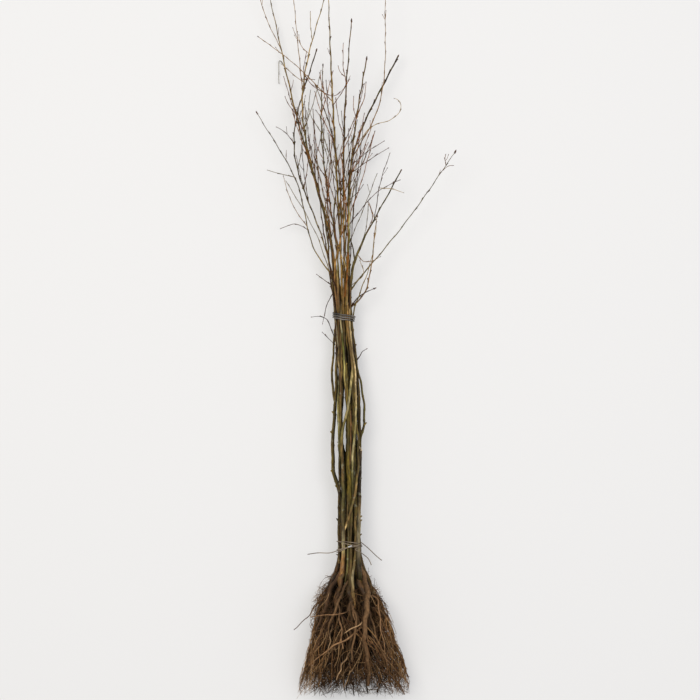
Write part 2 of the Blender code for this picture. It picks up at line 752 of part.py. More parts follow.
def wire_touch(tie, limbs, swept, strand=None):
    """The strand that the wire lies on after turning so far, or the one asked for, and the wire's middle
    there: one wire radius off the bark, square to the way it faces."""
    angle = tie.start + math.copysign(swept, tie.sweep)
    along = tie.along + tie.pitch * swept / (2 * math.pi)
    way = np.array([math.cos(angle), math.sin(angle)])
    strands = sections(limbs, along)
    if strand is None:
        strand = int((strands[:, :2] @ way + strands[:, 2]).argmax())
    across, up, radius = strands[strand]
    off = radius + WIRE_RADIUS + WIRE_CLEARANCE
    return strand, np.array((across + way[0] * off, along, up + way[1] * off))


def tie_limb(tie, limbs):
    """A wire drawn taut round the strands: it bends round each strand that reaches furthest out, and
    runs straight from where it leaves one to where it meets the next."""
    swept = 0.0
    strand, point = wire_touch(tie, limbs, swept)
    line = [*tie.first_end, point]
    while swept < abs(tie.sweep) - WIRE_STEP / 2:
        after = swept + WIRE_STEP
        reached, point = wire_touch(tie, limbs, after)
        if reached == strand:
            line.append(point)
        else:
            before = swept
            while after - before > WIRE_STEP / 200:
                middle = (before + after) / 2
                reached, _ = wire_touch(tie, limbs, middle)
                before, after = (middle, after) if reached == strand else (before, middle)
            reached, point = wire_touch(tie, limbs, after)
            line.append(wire_touch(tie, limbs, before, strand)[1])
            line.append(point)
        swept, strand = after, reached
    line = np.array([*line, *tie.last_end])
    far = np.linalg.norm(np.diff(line, axis=0), axis=1) > WIRE_RADIUS
    line = line[np.append(far, True)]
    return Limb(line, np.full(len(line), WIRE_RADIUS))


def settled_strands():
    """The whips from root to tip and the tied-in boughs, pressed together in the bundle."""
    levels = np.arange(-390.0, 1850.0, LEVEL_STEP)
    boughs = LOW_BOUGHS.values()
    target = [whip_target(whip, levels) for whip in WHIPS.values()]
    target += [low_bough_target(bough, WHIPS[bough.whip], levels) for bough in boughs]
    radii = [whip_radius(whip, levels) for whip in WHIPS.values()]
    radii += [low_bough_radius(bough, levels) for bough in boughs]
    begins = [whip.root[1] for whip in WHIPS.values()] + [bough.leaves + FOOT_ROOM for bough in boughs]
    ends = [whip.tip[1] for whip in WHIPS.values()] + [bough.tip[1] for bough in boughs]
    present = (levels >= np.array(begins)[:, None]) & (levels <= np.array(ends)[:, None])
    strands = list(WHIPS) + list(LOW_BOUGHS)
    target, radii = np.array(target), np.array(radii)
    places = settle(strands, target, radii, present, levels)
    limbs = {}
    for strand, middle, radius, here in zip(strands, places, radii, present):
        line = np.column_stack([middle[here, 0], levels[here], middle[here, 1]])
        limbs[strand] = Limb(line, radius[here])
    return limbs


def thinned(limb, step):
    """The limb with a point every so far along, and its two ends."""
    every = max(1, round(step / LEVEL_STEP))
    keep = np.zeros(len(limb.points), bool)
    keep[::every] = True
    keep[-every:] = False
    keep[[0, -1]] = True
    return Limb(limb.points[keep], limb.radii[keep], limb.headings[keep], limb.foot)


def turned_round(limb):
    """The limb from its other end."""
    return Limb(limb.points[::-1], limb.radii[::-1], -limb.headings[::-1])


def grow():
    """Every piece of the plant, as a list of limbs by the piece's name. The first limb of a piece
    carries the others."""
    strands = settled_strands()
    pieces = {}
    space = Space()
    for name, whip in WHIPS.items():
        root, rest = strands[name].split(0.0)
        stem, leader = rest.split(CROWN_BASE)
        pieces["stem_" + name] = [thinned(stem, STEM_RING_STEP)]
        pieces["crown_" + name] = [thinned(leader, STEM_RING_STEP)]
        pieces["roots_" + name] = [thinned(turned_round(root), ROOT_RING_STEP)]
    for name, bough in LOW_BOUGHS.items():
        stem = pieces["stem_" + bough.whip][0]
        pieces[name] = [with_foot(stem, thinned(strands[name], STEM_RING_STEP))]
    for piece, limbs in pieces.items():
        space.add(piece, limbs[0])
    for name, (whip, shoot, twigs_from) in SIDE_BOUGHS.items():
        stem = "stem_" + whip
        limb = clear_limb(bough_limb, pieces[stem][0], shoot, space, (stem,))
        bough, rest = limb.split(twigs_from)
        pieces["bough_" + name] = [bough]
        pieces["crown_" + name] = [rest]
        space.add("bough_" + name, bough)
        space.add("crown_" + name, rest)
    for name in SHOOTS:
        piece = "crown_" + name
        for shoot in SHOOTS[name]:
            limb = clear_limb(shoot_limb, pieces[piece][0], shoot, space, (piece,))
            if limb is not None:
                pieces[piece].append(limb)
                space.add(piece, limb)
    for seed, name in enumerate(SHOOTS):
        crown_twigs(np.random.default_rng(CROWN_SEED + seed), "crown_" + name, pieces, space)
    for seed, name in enumerate(WHIPS):
        side_roots(np.random.default_rng(ROOT_SEED + seed), "roots_" + name, pieces, space)
    return pieces


def build():
    """Makes the stems, boughs, crowns, roots and ties."""
    for obj in list(bpy.data.objects):
        bpy.data.objects.remove(obj)
    pieces = grow()
    for name, limbs in pieces.items():
        kind, _, number = name.partition("_")
        if kind == "stem":
            add_piece(name, limbs, STEM_SIDES, material(name + "_bark", WHIPS[number].bark, 0.7))
        elif kind == "bough":
            add_piece(name, limbs, LEADER_SIDES, material(name + "_bark", BOUGH_COLOUR, 0.7))
        elif kind == "crown":
            add_piece(name, limbs, LEADER_SIDES, material(name + "_twigs", TWIG_COLOUR, 0.65))
        else:
            add_piece(name, limbs, STEM_SIDES, material(name + "_bark", ROOT_COLOUR, 0.85))
    in_bundle = [limbs[0] for name, limbs in pieces.items() if name.startswith(("stem", "bough_low"))]
    for name, tie in TIES.items():
        wire = tie_limb(tie, in_bundle)
        add_piece(name, [wire], WIRE_SIDES, material(name + "_wire", WIRE_COLOUR, 0.4, 0.8))


if __name__ == "__main__":
    build()
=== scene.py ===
# %% [markdown]
# # A bundle of bare-rooted oak whips
#
# Oak whips are young trees of three or four years, lifted from the nursery in winter with bare roots and tied
# with wire. This bundle lies on the floor, with its roots towards -Y and its tips towards +Y, and the camera
# looks straight down on it.
#
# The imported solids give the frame: ten stems, seven boughs, twelve crowns of twigs, ten root masses and three
# ties. This script grows the same limbs by the same rule, carries them to finer twigs, buds and root hairs, and
# gives each its bark.

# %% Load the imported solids
import math
from collections import namedtuple
from functools import partial

import bpy
import numpy as np
from numpy.random import default_rng
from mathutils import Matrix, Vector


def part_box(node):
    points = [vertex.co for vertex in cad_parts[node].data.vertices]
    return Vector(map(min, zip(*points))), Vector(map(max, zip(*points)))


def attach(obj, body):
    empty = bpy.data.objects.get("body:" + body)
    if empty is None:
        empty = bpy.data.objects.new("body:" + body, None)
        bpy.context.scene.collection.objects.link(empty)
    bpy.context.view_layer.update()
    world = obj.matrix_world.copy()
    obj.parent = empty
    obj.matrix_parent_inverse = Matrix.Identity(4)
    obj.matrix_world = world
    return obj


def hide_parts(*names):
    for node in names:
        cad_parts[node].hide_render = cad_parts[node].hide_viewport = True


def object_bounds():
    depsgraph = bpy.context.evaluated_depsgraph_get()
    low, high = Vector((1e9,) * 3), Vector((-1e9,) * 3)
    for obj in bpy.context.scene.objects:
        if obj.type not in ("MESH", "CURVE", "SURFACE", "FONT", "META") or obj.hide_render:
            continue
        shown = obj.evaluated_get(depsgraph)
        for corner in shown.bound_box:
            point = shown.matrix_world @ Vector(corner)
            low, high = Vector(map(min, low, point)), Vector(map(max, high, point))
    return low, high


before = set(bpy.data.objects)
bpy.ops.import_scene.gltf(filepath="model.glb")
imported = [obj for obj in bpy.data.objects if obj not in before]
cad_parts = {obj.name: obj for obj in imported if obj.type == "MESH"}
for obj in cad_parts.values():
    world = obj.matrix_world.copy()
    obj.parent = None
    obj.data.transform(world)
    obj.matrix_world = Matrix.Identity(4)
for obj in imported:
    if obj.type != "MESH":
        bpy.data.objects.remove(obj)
cad_low, cad_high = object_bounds()
print("solids:", len(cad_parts), "box:", [round(v, 3) for v in (*cad_low, *cad_high)])

# %% [markdown]
# ## The bundle's section
#
# Sizes are in millimetres: across is to the right, along runs from the root collar to the tips, and up is over
# the floor. Stems drawn by hand would cut through each other, so the bundle has an oval section that changes
# along it, and each whip has a slot in it.

# %% Driving dimensions
METRE = 1000.0
COLLAR_Y = -735.0  # where the root collar lies, so that the origin is under the middle of the bundle
CROWN_BASE = 985.0  # the stems end here and their crowns of twigs go on
UPPER_TIE_ALONG = 790.0
CLEARANCE = 0.3  # between touching pieces
STEM_GAP = 0.8  # between stems pressed together, a little more for their facets
EDGE_STEM_RADIUS = 7.0  # keeps the outer stems within the bundle's edge
FLARE = 1.25  # how much thicker a stem is at the collar than just above it
FLARE_LENGTH = 40.0
TIP_RADIUS = 1.2
TWIG_TIP_RADIUS = 0.8
ROOT_TIP_RADIUS = 1.4
STEM_TAPER = 0.6  # powers of the way left to the tip: below 1, a limb keeps its thickness for longer
BOUGH_TAPER = 0.7
ROOT_TAPER = 0.8
# The bundle's middle line and half sizes: along, across, up, half width, half depth
SECTIONS = (
    (-115, -14, 90, 108, 56), (-50, -17, 90, 80, 46), (0, -18, 88, 46, 32), (84, -19, 88, 34, 26),
    (230, -19, 84, 35, 27), (440, -27, 80, 47, 30), (600, -27, 76, 42, 28), (UPPER_TIE_ALONG, -39, 72, 31, 20),
    (960, -45, 76, 46, 34),
)
# Daylight that shows through the loose middle of the bundle: across, along, half width, half length, and
# the strands that pass on its left
WINDOWS = (
    (-36, 468, 5, 75, ("01", "02", "03", "04", "bough_low_left", "bough_low_middle")),
    (-61, 380, 5, 95, ("01",)),
)
print("the stems run", CROWN_BASE, "mm from collar to crown, in an oval", 2 * SECTIONS[4][3], "mm wide")

# %% [markdown]
# ## The ten whips
#
# A whip has one leader, a main root and a swelling at the collar between them. Each row gives its slot, its
# thickness and its ends. The rest is worked out.

# %% The whips
# A whip: its place in the section (-1 to 1 across and up), its diameter above the collar, its leader's elbow
# and tip, and its main root's end
Whip = namedtuple("Whip", "slot thick elbow tip root")
WHIPS = {
    "01": Whip((-0.95, 0.15), 13, (-196, 1336, 70), (-119, 1626, 120), (-160, -318, 30)),
    "02": Whip((-0.62, -0.62), 17, (-194, 1451, 38), (-279, 1835, 30), (-172, -352, 8)),
    "03": Whip((-0.50, 0.72), 16, (-167, 1479, 150), (-78, 1835, 205), (-106, -322, 110)),
    "04": Whip((-0.28, 0.00), 14, (-108, 1370, 95), (-102, 1587, 90), (-62, -362, 62)),
    "05": Whip((-0.03, 0.88), 18, (-76, 1541, 190), (-88, 1848, 245), (-18, -330, 150)),
    "06": Whip((0.22, 0.08), 19, (-33, 1463, 110), (-13, 1717, 140), (38, -384, 100)),
    "07": Whip((0.48, 0.74), 17, (-6, 1355, 140), (34, 1593, 190), (72, -340, 128)),
    "08": Whip((0.60, -0.58), 16, (-8, 1308, 50), (134, 1607, 60), (112, -368, 10)),
    "09": Whip((0.92, 0.12), 15, (58, 1097, 92), (148, 1249, 150), (168, -342, 40)),
    "10": Whip((-0.02, -0.80), 14, (-71, 1355, 26), (-130, 1525, 20), (-30, -386, 6)),
}
thicknesses = [whip.thick for whip in WHIPS.values()]
print(len(WHIPS), "whips,", min(thicknesses), "to", max(thicknesses), "mm")

# %% [markdown]
# ## Side limbs
#
# Some side limbs leave their stem low down and are tied in, and two long ones lean out of the bundle. The
# longest shoots make the outline of a bare crown, so they are named one by one.

# %% Boughs and shoots
# A side limb tied in with the stems: its whip, how far along it leaves and the angle it faces there (0 to the
# right, 90 up), its bulge out of the bundle, its place in the upper tie's section, its diameter, elbow and tip
LowBough = namedtuple("LowBough", "whip leaves faces bulge slot thick elbow tip")
LOW_BOUGHS = {
    "bough_low_right": LowBough("09", 395, 10, (28, 500, 88), (1.0, 0.5), 8, (48, 960, 118), (65, 1102, 132)),
    "bough_low_left": LowBough("01", 520, 190, (-74, 640, 68), (-1.0, -0.4), 8, (-128, 1062, 60),
        (-225, 1225, 45)),
    "bough_low_front": LowBough("03", 120, 95, (1, 262, 121), (0.2, 1.3), 8, (-18, 1100, 150), (4, 1290, 205)),
    "bough_low_middle": LowBough("03", 430, 110, (-44, 600, 100), (-0.3, 1.0), 8, (-92, 1120, 130),
        (-128, 1310, 190)),
    "bough_low_back": LowBough("08", 330, -60, (8, 520, 52), (0.3, -1.0), 8, (-10, 1120, 32), (30, 1330, 20)),
}
# A shoot that shows by itself: how far along its limb it leaves, its diameter, elbow and tip
Shoot = namedtuple("Shoot", "leaves thick elbow tip")
# The two long boughs that leave the bundle: the whip, the shoot, and how far along its twigs begin
SIDE_BOUGHS = {
    "left": ("01", Shoot(940, 8, (-192, 1228, 62), (-310, 1428, 75)), 1035),
    "right": ("09", Shoot(886, 8, (160, 1092, 100), (309, 1304, 150)), 1110),
}
# The shoots of each crown, by the whip or bough that carries them
SHOOTS = {crown: [Shoot(*row) for row in rows] for crown, rows in {
    "01": ((1500, 4, (-160, 1570, 140), (-151, 1612, 160)), (1512, 5, (-208, 1552, 115), (-233, 1575, 125)),
     (1330, 4, (-226, 1368, 85), (-251, 1381, 95))),
    "02": ((1625, 4, (-280, 1722, 60), (-307, 1815, 75)), (1570, 3, (-236, 1590, 18), (-240, 1515, 14)),
     (1420, 4, (-212, 1456, 60), (-222, 1479, 70))),
    "03": ((1480, 5, (-180, 1640, 120), (-198, 1825, 110)), (1600, 3, (-172, 1630, 185), (-176, 1661, 195)),
     (1640, 3, (-140, 1690, 215), (-140, 1729, 230))),
    "04": ((1360, 4, (-138, 1410, 110), (-146, 1437, 125)), (1420, 4, (-85, 1500, 70), (-70, 1560, 60))),
    "05": ((1452, 5, (-200, 1576, 190), (-305, 1655, 175)), (1440, 4, (-40, 1485, 205), (-20, 1519, 222))),
    "06": ((1510, 4, (-40, 1570, 150), (-39, 1637, 170)), (1530, 3, (-50, 1550, 105), (-56, 1572, 100))),
    "07": ((1410, 6, (26, 1470, 130), (31, 1519, 120)), (1400, 3, (-8, 1440, 190), (-7, 1471, 205))),
    "08": ((1290, 6, (58, 1410, 90), (93, 1829, 120)), (1235, 5, (50, 1286, 30), (105, 1320, 22)),
     (1262, 4, (40, 1306, 90), (91, 1337, 110)), (1075, 5, (77, 1187, 60), (141, 1218, 70)),
     (1150, 3, (14, 1188, 90), (25, 1204, 100))),
    "09": ((1092, 5, (77, 1202, 130), (113, 1297, 185)), (1050, 3, (50, 1110, 150), (36, 1150, 175))),
    "10": ((1340, 4, (-100, 1400, 14), (-128, 1440, 10)),),
    "left": ((1060, 4, (-185, 1080, 50), (-239, 1064, 40)), (1225, 4, (-240, 1236, 75), (-279, 1247, 90))),
    "right": ((1258, 4, (274, 1280, 180), (276, 1292, 196)), (1240, 4, (290, 1256, 170), (304, 1256, 176)),
     (1170, 3, (222, 1176, 140), (228, 1180, 150))),
}.items()}
print(len(LOW_BOUGHS), "boughs tied in,", sum(map(len, SHOOTS.values())), "shoots by name")

# %% [markdown]
# ## The rule for twigs and side roots
#
# A side twig stands a golden angle further round its leader than the one before, close to what buds do, so no
# two lie over each other. It leaves at a narrow angle and bends upright. Roots leave wider and bend down.
# Seeded generators give the same plant on each run.

# %% Seeds, spaces and steps
# The space of the crown's seeded twigs, and that of the roots: along, left edge, right edge, top
CROWN_SPACE = (
    (900, -105, 20, 140), (1107, -135, 60, 200), (1250, -190, 75, 240), (1370, -215, 85, 270),
    (1480, -235, 95, 285), (1600, -250, 100, 295), (1720, -215, 60, 295), (1848, -120, 0, 280),
)
ROOT_SPACE = (
    (-400, -192, 172, 120), (-330, -176, 168, 190), (-230, -150, 136, 205), (-90, -140, 98, 195),
    (-38, -118, 74, 165), (10, -80, 40, 135),
)
# The seeded side twigs of a crown
CROWN_SEED = 100
TWIGS_PER_CROWN = 15
TWIG_TRIES = 45
TWIG_WAYS = (0.04, 0.9)  # where the first stands on the leader, and how far they go, as shares of it
TWIG_LENGTH = 45.0  # of the last twig, near the tip
TWIG_REACH = 0.42  # of the leader's length, that the first twig is longer by
TWIG_SPREAD = (16.0, 30.0)  # degrees from the leader, at its foot
TWIG_OPENING = 14.0  # degrees more at its tip
TWIG_RADIUS = 1.1
TWIG_TURN = 0.4  # radians, by which a twig may miss its place round the leader
TWIG_THICKENING = 0.006  # of a twig's length, added to its radius
UPRIGHT = np.array((0.0, 0.9, 0.0))
# The seeded side roots of a whip
ROOT_SEED = 200
ROOTS_PER_WHIP = 9
ROOT_TRIES = 54
ROOT_WAYS = (0.1, 0.75)
ROOT_LENGTH = (70.0, 210.0)
ROOT_SPREAD = (25.0, 70.0)
ROOT_TURN = 0.5
ROOT_RADIUS = 1.5
ROOT_THICKENING = 0.012
THICKEST_SIDE_ROOT = 4.0
DOWNWARD = np.array((0.0, -0.8, -0.25))
GOLDEN_ANGLE = math.radians(137.5)
WANDER = 0.12  # how far a side limb strays from the way it grows
# How the strands are pressed together: rounds in all, the last of them that only push apart, and the
# shares of the way back to a strand's own line and of its bend that each round takes out
ROUNDS = 600
LAST_ROUNDS = 120
PULL = 0.06
STRAIGHTEN = 0.3
# How finely the solids are cut: steps and points along a limb
PLANT_ENDS = (-390.0, 1850.0)  # along
LEVEL_STEP = 15.0
STEM_RING_STEP = 45.0
ROOT_RING_STEP = 30.0
SHOOT_STEP = 75.0
SHOOT_POINTS = 4  # of the shortest shoot
TWIG_POINTS = 3
BOUGH_POINTS = 14
RING_TO_CUT = 5.0  # no ring is nearer to a cut than this
LIFTS = (0, 6, -6, 12, -12, 18, -18, 26, -26, 36, -36, 48, -48)  # tried in turn to pass another limb
FLOOR_EASE = 12.0  # the height over the floor at which a limb that comes down begins to level out
FOOT_ANGLE = math.radians(38)  # between a bough and the stem that it leaves
FOOT_LENGTH = 1.5  # of a bough's thickness, before it bends to its elbow
FOOT_ROOM = 20.0  # between where a tied-in bough leaves its stem and where it lies beside it
print(TWIGS_PER_CROWN, "twigs a crown and", ROOTS_PER_WHIP, "side roots a whip")

# %% [markdown]
# ## Smooth curves
#
# A limb is known at a few places and is smooth between them. The levels of all whips have to be compared, so it
# isn't a curve object but a formula in numpy: a cubic between neighbouring places, whose slope at each
# is read from the two beside it.

# %% Curves through places
def smooth(places, values, at):
    """Values at the places asked for, on the cubics between the given ones."""
    places = np.asarray(places, float)
    values = np.asarray(values, float)
    at = np.clip(np.asarray(at, float), places[0], places[-1])
    slopes = np.gradient(values, places, axis=0)
    k = np.clip(np.searchsorted(places, at) - 1, 0, len(places) - 2)
    span = places[k + 1] - places[k]
    t = (at - places[k]) / span
    if values.ndim > 1:
        span, t = span[..., None], t[..., None]
    rise = values[k + 1] - values[k]
    bend_in = slopes[k] * span - rise
    bend_out = rise - slopes[k + 1] * span
    return values[k] + t * rise + t * (1 - t) * (bend_in * (1 - t) + bend_out * t)


def way_along(points):
    """The way from a line's first point to each of its points."""
    return np.concatenate([[0], np.cumsum(np.linalg.norm(np.diff(points, axis=0), axis=1))])


def curve_through(places, count):
    """Points on a smooth curve through a few places, evenly spaced in the way between them."""
    places = np.asarray(places, float)
    way = way_along(places)
    return smooth(way, places, np.linspace(0, way[-1], count))


def between(at, places, rows):
    """The columns of a table, read between the places of its rows."""
    return [np.interp(at, places, column) for column in np.transpose(rows)]


def read_off(rows, along):
    """The columns of a table at places along the bundle, which are its first column."""
    rows = np.array(rows)
    return between(along, rows[:, 0], rows[:, 1:])


print("half way between 0 and 10 on a smooth curve:", float(smooth([0, 1, 2], [0.0, 10.0, 0.0], [0.5])[0]))

# %% [markdown]
# ## Where each limb would run alone
#
# Each whip is a curve from the end of its main root, through its slot, to its tip. A tied-in bough starts
# beside its whip.

# %% Targets and radii
def section_at(along):
    """The bundle's section at places along it: its middle across and up, and its half sizes."""
    rows = np.array(SECTIONS)
    return smooth(rows[:, 0], rows[:, 1:], along)


def place_in_section(slot, along):
    """The place of a slot of the section, which is given as -1 to 1 each way."""
    across, up, half_width, half_depth = section_at(along)
    across = across + slot[0] * (half_width - EDGE_STEM_RADIUS)
    return across, along, up + slot[1] * (half_depth - EDGE_STEM_RADIUS)


def through(stations, levels):
    """Across and up at each level, on a smooth curve through stations."""
    stations = np.array(stations)
    return smooth(stations[:, 1], stations[:, [0, 2]], levels)


def whip_target(whip, levels):
    """Where a whip would run alone: from its main root's end, through its slot."""
    slots = [place_in_section(whip.slot, row[0]) for row in SECTIONS]
    return through([whip.root, *slots, whip.elbow, whip.tip], levels)


def whip_radius(whip, levels):
    """A whip's radius: a taper to its tip, a swelling at the collar, a taper along its main root."""
    levels = np.asarray(levels, float)
    above = np.clip(1 - levels / whip.tip[1], 0, 1) ** STEM_TAPER
    below = np.clip(1 - levels / whip.root[1], 0, 1) ** ROOT_TAPER
    full = whip.thick / 2
    swell = 1 + (FLARE - 1) * np.exp(-np.clip(levels, 0, None) / FLARE_LENGTH)
    stem = TIP_RADIUS + (full - TIP_RADIUS) * above * swell
    return np.where(levels >= 0, stem, ROOT_TIP_RADIUS + (full * FLARE - ROOT_TIP_RADIUS) * below)


def low_bough_target(bough, levels):
    """Where a tied-in side limb would run: from beside its whip, by its bulge and its slot."""
    carrier = WHIPS[bough.whip]
    faces = math.radians(bough.faces)
    off = np.array([math.cos(faces), math.sin(faces)]) * (carrier.thick + bough.thick) / 2
    across, up = whip_target(carrier, np.array([bough.leaves]))[0] + off
    slot = place_in_section(bough.slot, UPPER_TIE_ALONG)
    return through([(across, bough.leaves, up), bough.bulge, slot, bough.elbow, bough.tip], levels)


def low_bough_radius(bough, levels):
    """Its radius, from where it leaves to its tip."""
    way = np.clip((levels - bough.leaves) / (bough.tip[1] - bough.leaves), 0, 1)
    return TWIG_TIP_RADIUS + (bough.thick / 2 - TWIG_TIP_RADIUS) * (1 - way) ** BOUGH_TAPER


print("stem 05 is", round(float(2 * whip_radius(WHIPS["05"], 300.0)), 1), "mm thick at 300 mm")

# %% [markdown]
# ## Pressing the stems together
#
# A wire pulls the stems together until they touch. A physics run could do that, but a relaxation gives the same
# result each time: at each level the centres are pushed apart where the stems would overlap, drawn back to
# where they would run alone, and smoothed along.

# %% Settling
def keep_windows(places, strands, radii, levels):
    """Moves centres sideways out of the windows of daylight, each to the side it passes on."""
    for across, along, half_width, half_length, on_left in WINDOWS:
        inside = np.clip(1 - ((levels - along) / half_length) ** 2, 0, None)
        half = half_width * np.sqrt(inside)
        side = np.array([-1.0 if strand in on_left else 1.0 for strand in strands])[:, None]
        off = (places[..., 0] - across) * side
        short = np.where(inside > 0, radii + half - off, 0)
        places[..., 0] += side * np.clip(short, 0, None)


def settle(strands, target, radii, present, levels):
    """Presses the strands together, in rounds, without letting them overlap."""
    places = target.copy()
    slope = np.gradient(target, levels, axis=1)
    wide = radii * np.sqrt(1 + (slope**2).sum(axis=2))
    both = present[:, None] & present[None]
    both &= ~np.eye(len(target), dtype=bool)[:, :, None]
    need = wide[:, None] + wide[None] + STEM_GAP
    inner = present[:, :-2] & present[:, 1:-1] & present[:, 2:]
    for sweep in range(ROUNDS):
        if sweep < ROUNDS - LAST_ROUNDS:
            places += PULL * (target - places)
            bend = places[:, :-2] + places[:, 2:] - 2 * places[:, 1:-1]
            places[:, 1:-1] += np.where(inner[..., None], STRAIGHTEN * bend, 0)
            keep_windows(places, strands, radii, levels)
        apart = places[:, None] - places[None]
        distance = np.maximum(np.linalg.norm(apart, axis=3), 1e-6)
        over = np.where(both, np.clip(need - distance, 0, None), 0)
        places += 0.5 * (apart / distance[..., None] * over[..., None]).sum(axis=1)
        places[..., 1] = np.maximum(places[..., 1], wide)
    return places


print("levels are", LEVEL_STEP, "mm apart, settled in", ROUNDS, "rounds")

# %% [markdown]
# ## Limbs
#
# A limb is a middle line with a radius and a heading at each point. Its stem and its crown are solids of their
# own in the frame, so splitting it leaves a gap of 0.3 mm.

# %% A limb
class Limb:
    """A tapering limb: its middle line, and its radius and its heading at each point."""

    def __init__(self, points, radii, headings=None):
        self.points = np.asarray(points, float)
        self.radii = np.asarray(radii, float)
        if headings is None:
            headings = np.gradient(self.points, axis=0)
            headings /= np.linalg.norm(headings, axis=1)[:, None]
        self.headings = headings

    def at(self, along):
        """The place, radius and heading where the limb passes a place along the bundle."""
        ways = self.points[:, 1]
        place, heading = (np.array(between(along, ways, rows)) for rows in (self.points, self.headings))
        return place, np.interp(along, ways, self.radii), heading / np.linalg.norm(heading)

    def split(self, along):
        """The limb below and above a place along the bundle, cut square with the clearance between."""
        place, radius, heading = self.at(along)
        half = heading * CLEARANCE / 2
        below = self.points[:, 1] < along - RING_TO_CUT
        above = self.points[:, 1] > along + RING_TO_CUT
        first = Limb(np.vstack([self.points[below], place - half]), np.append(self.radii[below], radius),
                     np.vstack([self.headings[below], heading]))
        return first, Limb(np.vstack([place + half, self.points[above]]), np.append(radius, self.radii[above]),
                           np.vstack([heading, self.headings[above]]))

    def rods(self):
        """The starts, ends and radii of the straight rods between its points."""
        return self.points[:-1], self.points[1:], np.maximum(self.radii[:-1], self.radii[1:])


def distances(starts, ends, other_starts, other_ends):
    """The least distance between each straight rod of one set and each of another."""
    u = (ends - starts)[:, None]
    v = (other_ends - other_starts)[None]
    w = starts[:, None] - other_starts[None]
    a, b, c = (u * u).sum(-1), (u * v).sum(-1), (v * v).sum(-1)
    d, e = (u * w).sum(-1), (v * w).sum(-1)
    s = np.clip((b * e - c * d) / np.maximum(a * c - b * b, 1e-9), 0, 1)
    t = np.clip((b * s + e) / np.maximum(c, 1e-9), 0, 1)
    s = np.clip((b * t - d) / np.maximum(a, 1e-9), 0, 1)
    return np.linalg.norm(w + s[..., None] * u - t[..., None] * v, axis=-1)


class Space:
    """The pieces made so far, as limbs by name, and their rods, to find what a new limb would touch."""

    def __init__(self):
        self.pieces = {}
        self.owned_rods = []

    def add(self, piece, limb):
        """Adds a limb to a piece. The first limb of a piece carries the others."""
        self.pieces.setdefault(piece, []).append(limb)
        self.owned_rods += [(piece, rod) for rod in zip(*limb.rods())]

    def room(self, limb, piece):
        """The least gap between a new limb and the limbs of all other pieces."""
        others = [rod for owner, rod in self.owned_rods if owner != piece]
        starts, ends, radii = (np.array(column) for column in zip(*others))
        own_starts, own_ends, own_radii = limb.rods()
        gaps = distances(own_starts, own_ends, starts, ends) - own_radii[:, None] - radii[None]
        return gaps.min()


print("a limb is split with", CLEARANCE, "mm between")

# %% [markdown]
# ## Shoots, boughs and seeded twigs
#
# A new limb is tried against every limb that is there. A shoot is lifted past the others, and a seeded twig
# that would touch one is left out.

# %% Growing limbs
def in_space(space, ends, points):
    """Which points lie between the edges of a space, and between two ends along it."""
    across, along, up = np.moveaxis(points, -1, 0)
    left, right, top = read_off(space, along)
    return (along > ends[0]) & (along < ends[1]) & (across > left) & (across < right) & (up < top)


def on_floor(points, radii):
    """The points lifted where the limb would pass through the floor, so that it lies on it."""
    above = points[:, 2] - radii
    least = FLOOR_EASE * np.exp(np.minimum(above / FLOOR_EASE - 1, 0))
    lifted = points.copy()
    lifted[:, 2] = radii + np.maximum(above, least)
    return lifted


def taper(thick, tip_radius, count):
    """Radii from a thick end to a tip, shrinking a little faster towards the tip."""
    return tip_radius + (thick - tip_radius) * np.linspace(1, 0, count) ** BOUGH_TAPER


def shoot_limb(carrier, shoot):
    """A shoot that passes its elbow on the way from its limb's middle line to its tip."""
    start, radius, _ = carrier.at(shoot.leaves)
    count = SHOOT_POINTS + int(np.linalg.norm(shoot.tip - start) / SHOOT_STEP)
    radii = taper(min(shoot.thick / 2, 0.8 * radius), TWIG_TIP_RADIUS, count)
    return Limb(on_floor(curve_through([start, shoot.elbow, shoot.tip], count), radii), radii)


def foot_on(carrier, along, towards, back=0.0):
    """A bough's foot against its stem, on the side towards a place and moved back along: its middle and its
    heading, at the foot's angle from the stem's."""
    place, _, heading = carrier.at(along)
    out = towards - place
    out -= heading * out.dot(heading)
    out /= np.linalg.norm(out)
    place, radius, heading = carrier.at(along - back)
    return place + out * (radius + CLEARANCE), out * math.sin(FOOT_ANGLE) + heading * math.cos(FOOT_ANGLE)


def bough_limb(carrier, shoot):
    """A bough whose foot lies against its stem, and which passes its elbow."""
    start, first = foot_on(carrier, shoot.leaves, shoot.elbow)
    foot_end = start + FOOT_LENGTH * shoot.thick * first
    radii = taper(shoot.thick / 2, TWIG_TIP_RADIUS, BOUGH_POINTS)
    line = curve_through([start, foot_end, shoot.elbow, shoot.tip], BOUGH_POINTS)
    limb = Limb(on_floor(line, radii), radii)
    limb.headings[0] = first
    return limb


def with_foot(carrier, strand):
    """A tied-in bough's strand with a foot added, against its stem where they are side by side."""
    beside = strand.points[0]
    back = (strand.radii[0] + STEM_GAP) / math.tan(FOOT_ANGLE)
    start, first = foot_on(carrier, beside[1], beside, back)
    return Limb(np.vstack([start, strand.points]), np.append(strand.radii[0], strand.radii),
                np.vstack([first, strand.headings]))


def clear_limb(make, space, piece, shoot):
    """A shoot's limb, lifted by the least that takes it past every other piece, or none."""
    for lift in LIFTS:
        up = np.array((0.0, 0.0, lift))
        limb = make(space.pieces[piece][0], shoot._replace(elbow=shoot.elbow + up, tip=shoot.tip + up))
        if space.room(limb, piece) > CLEARANCE:
            return limb
    return None


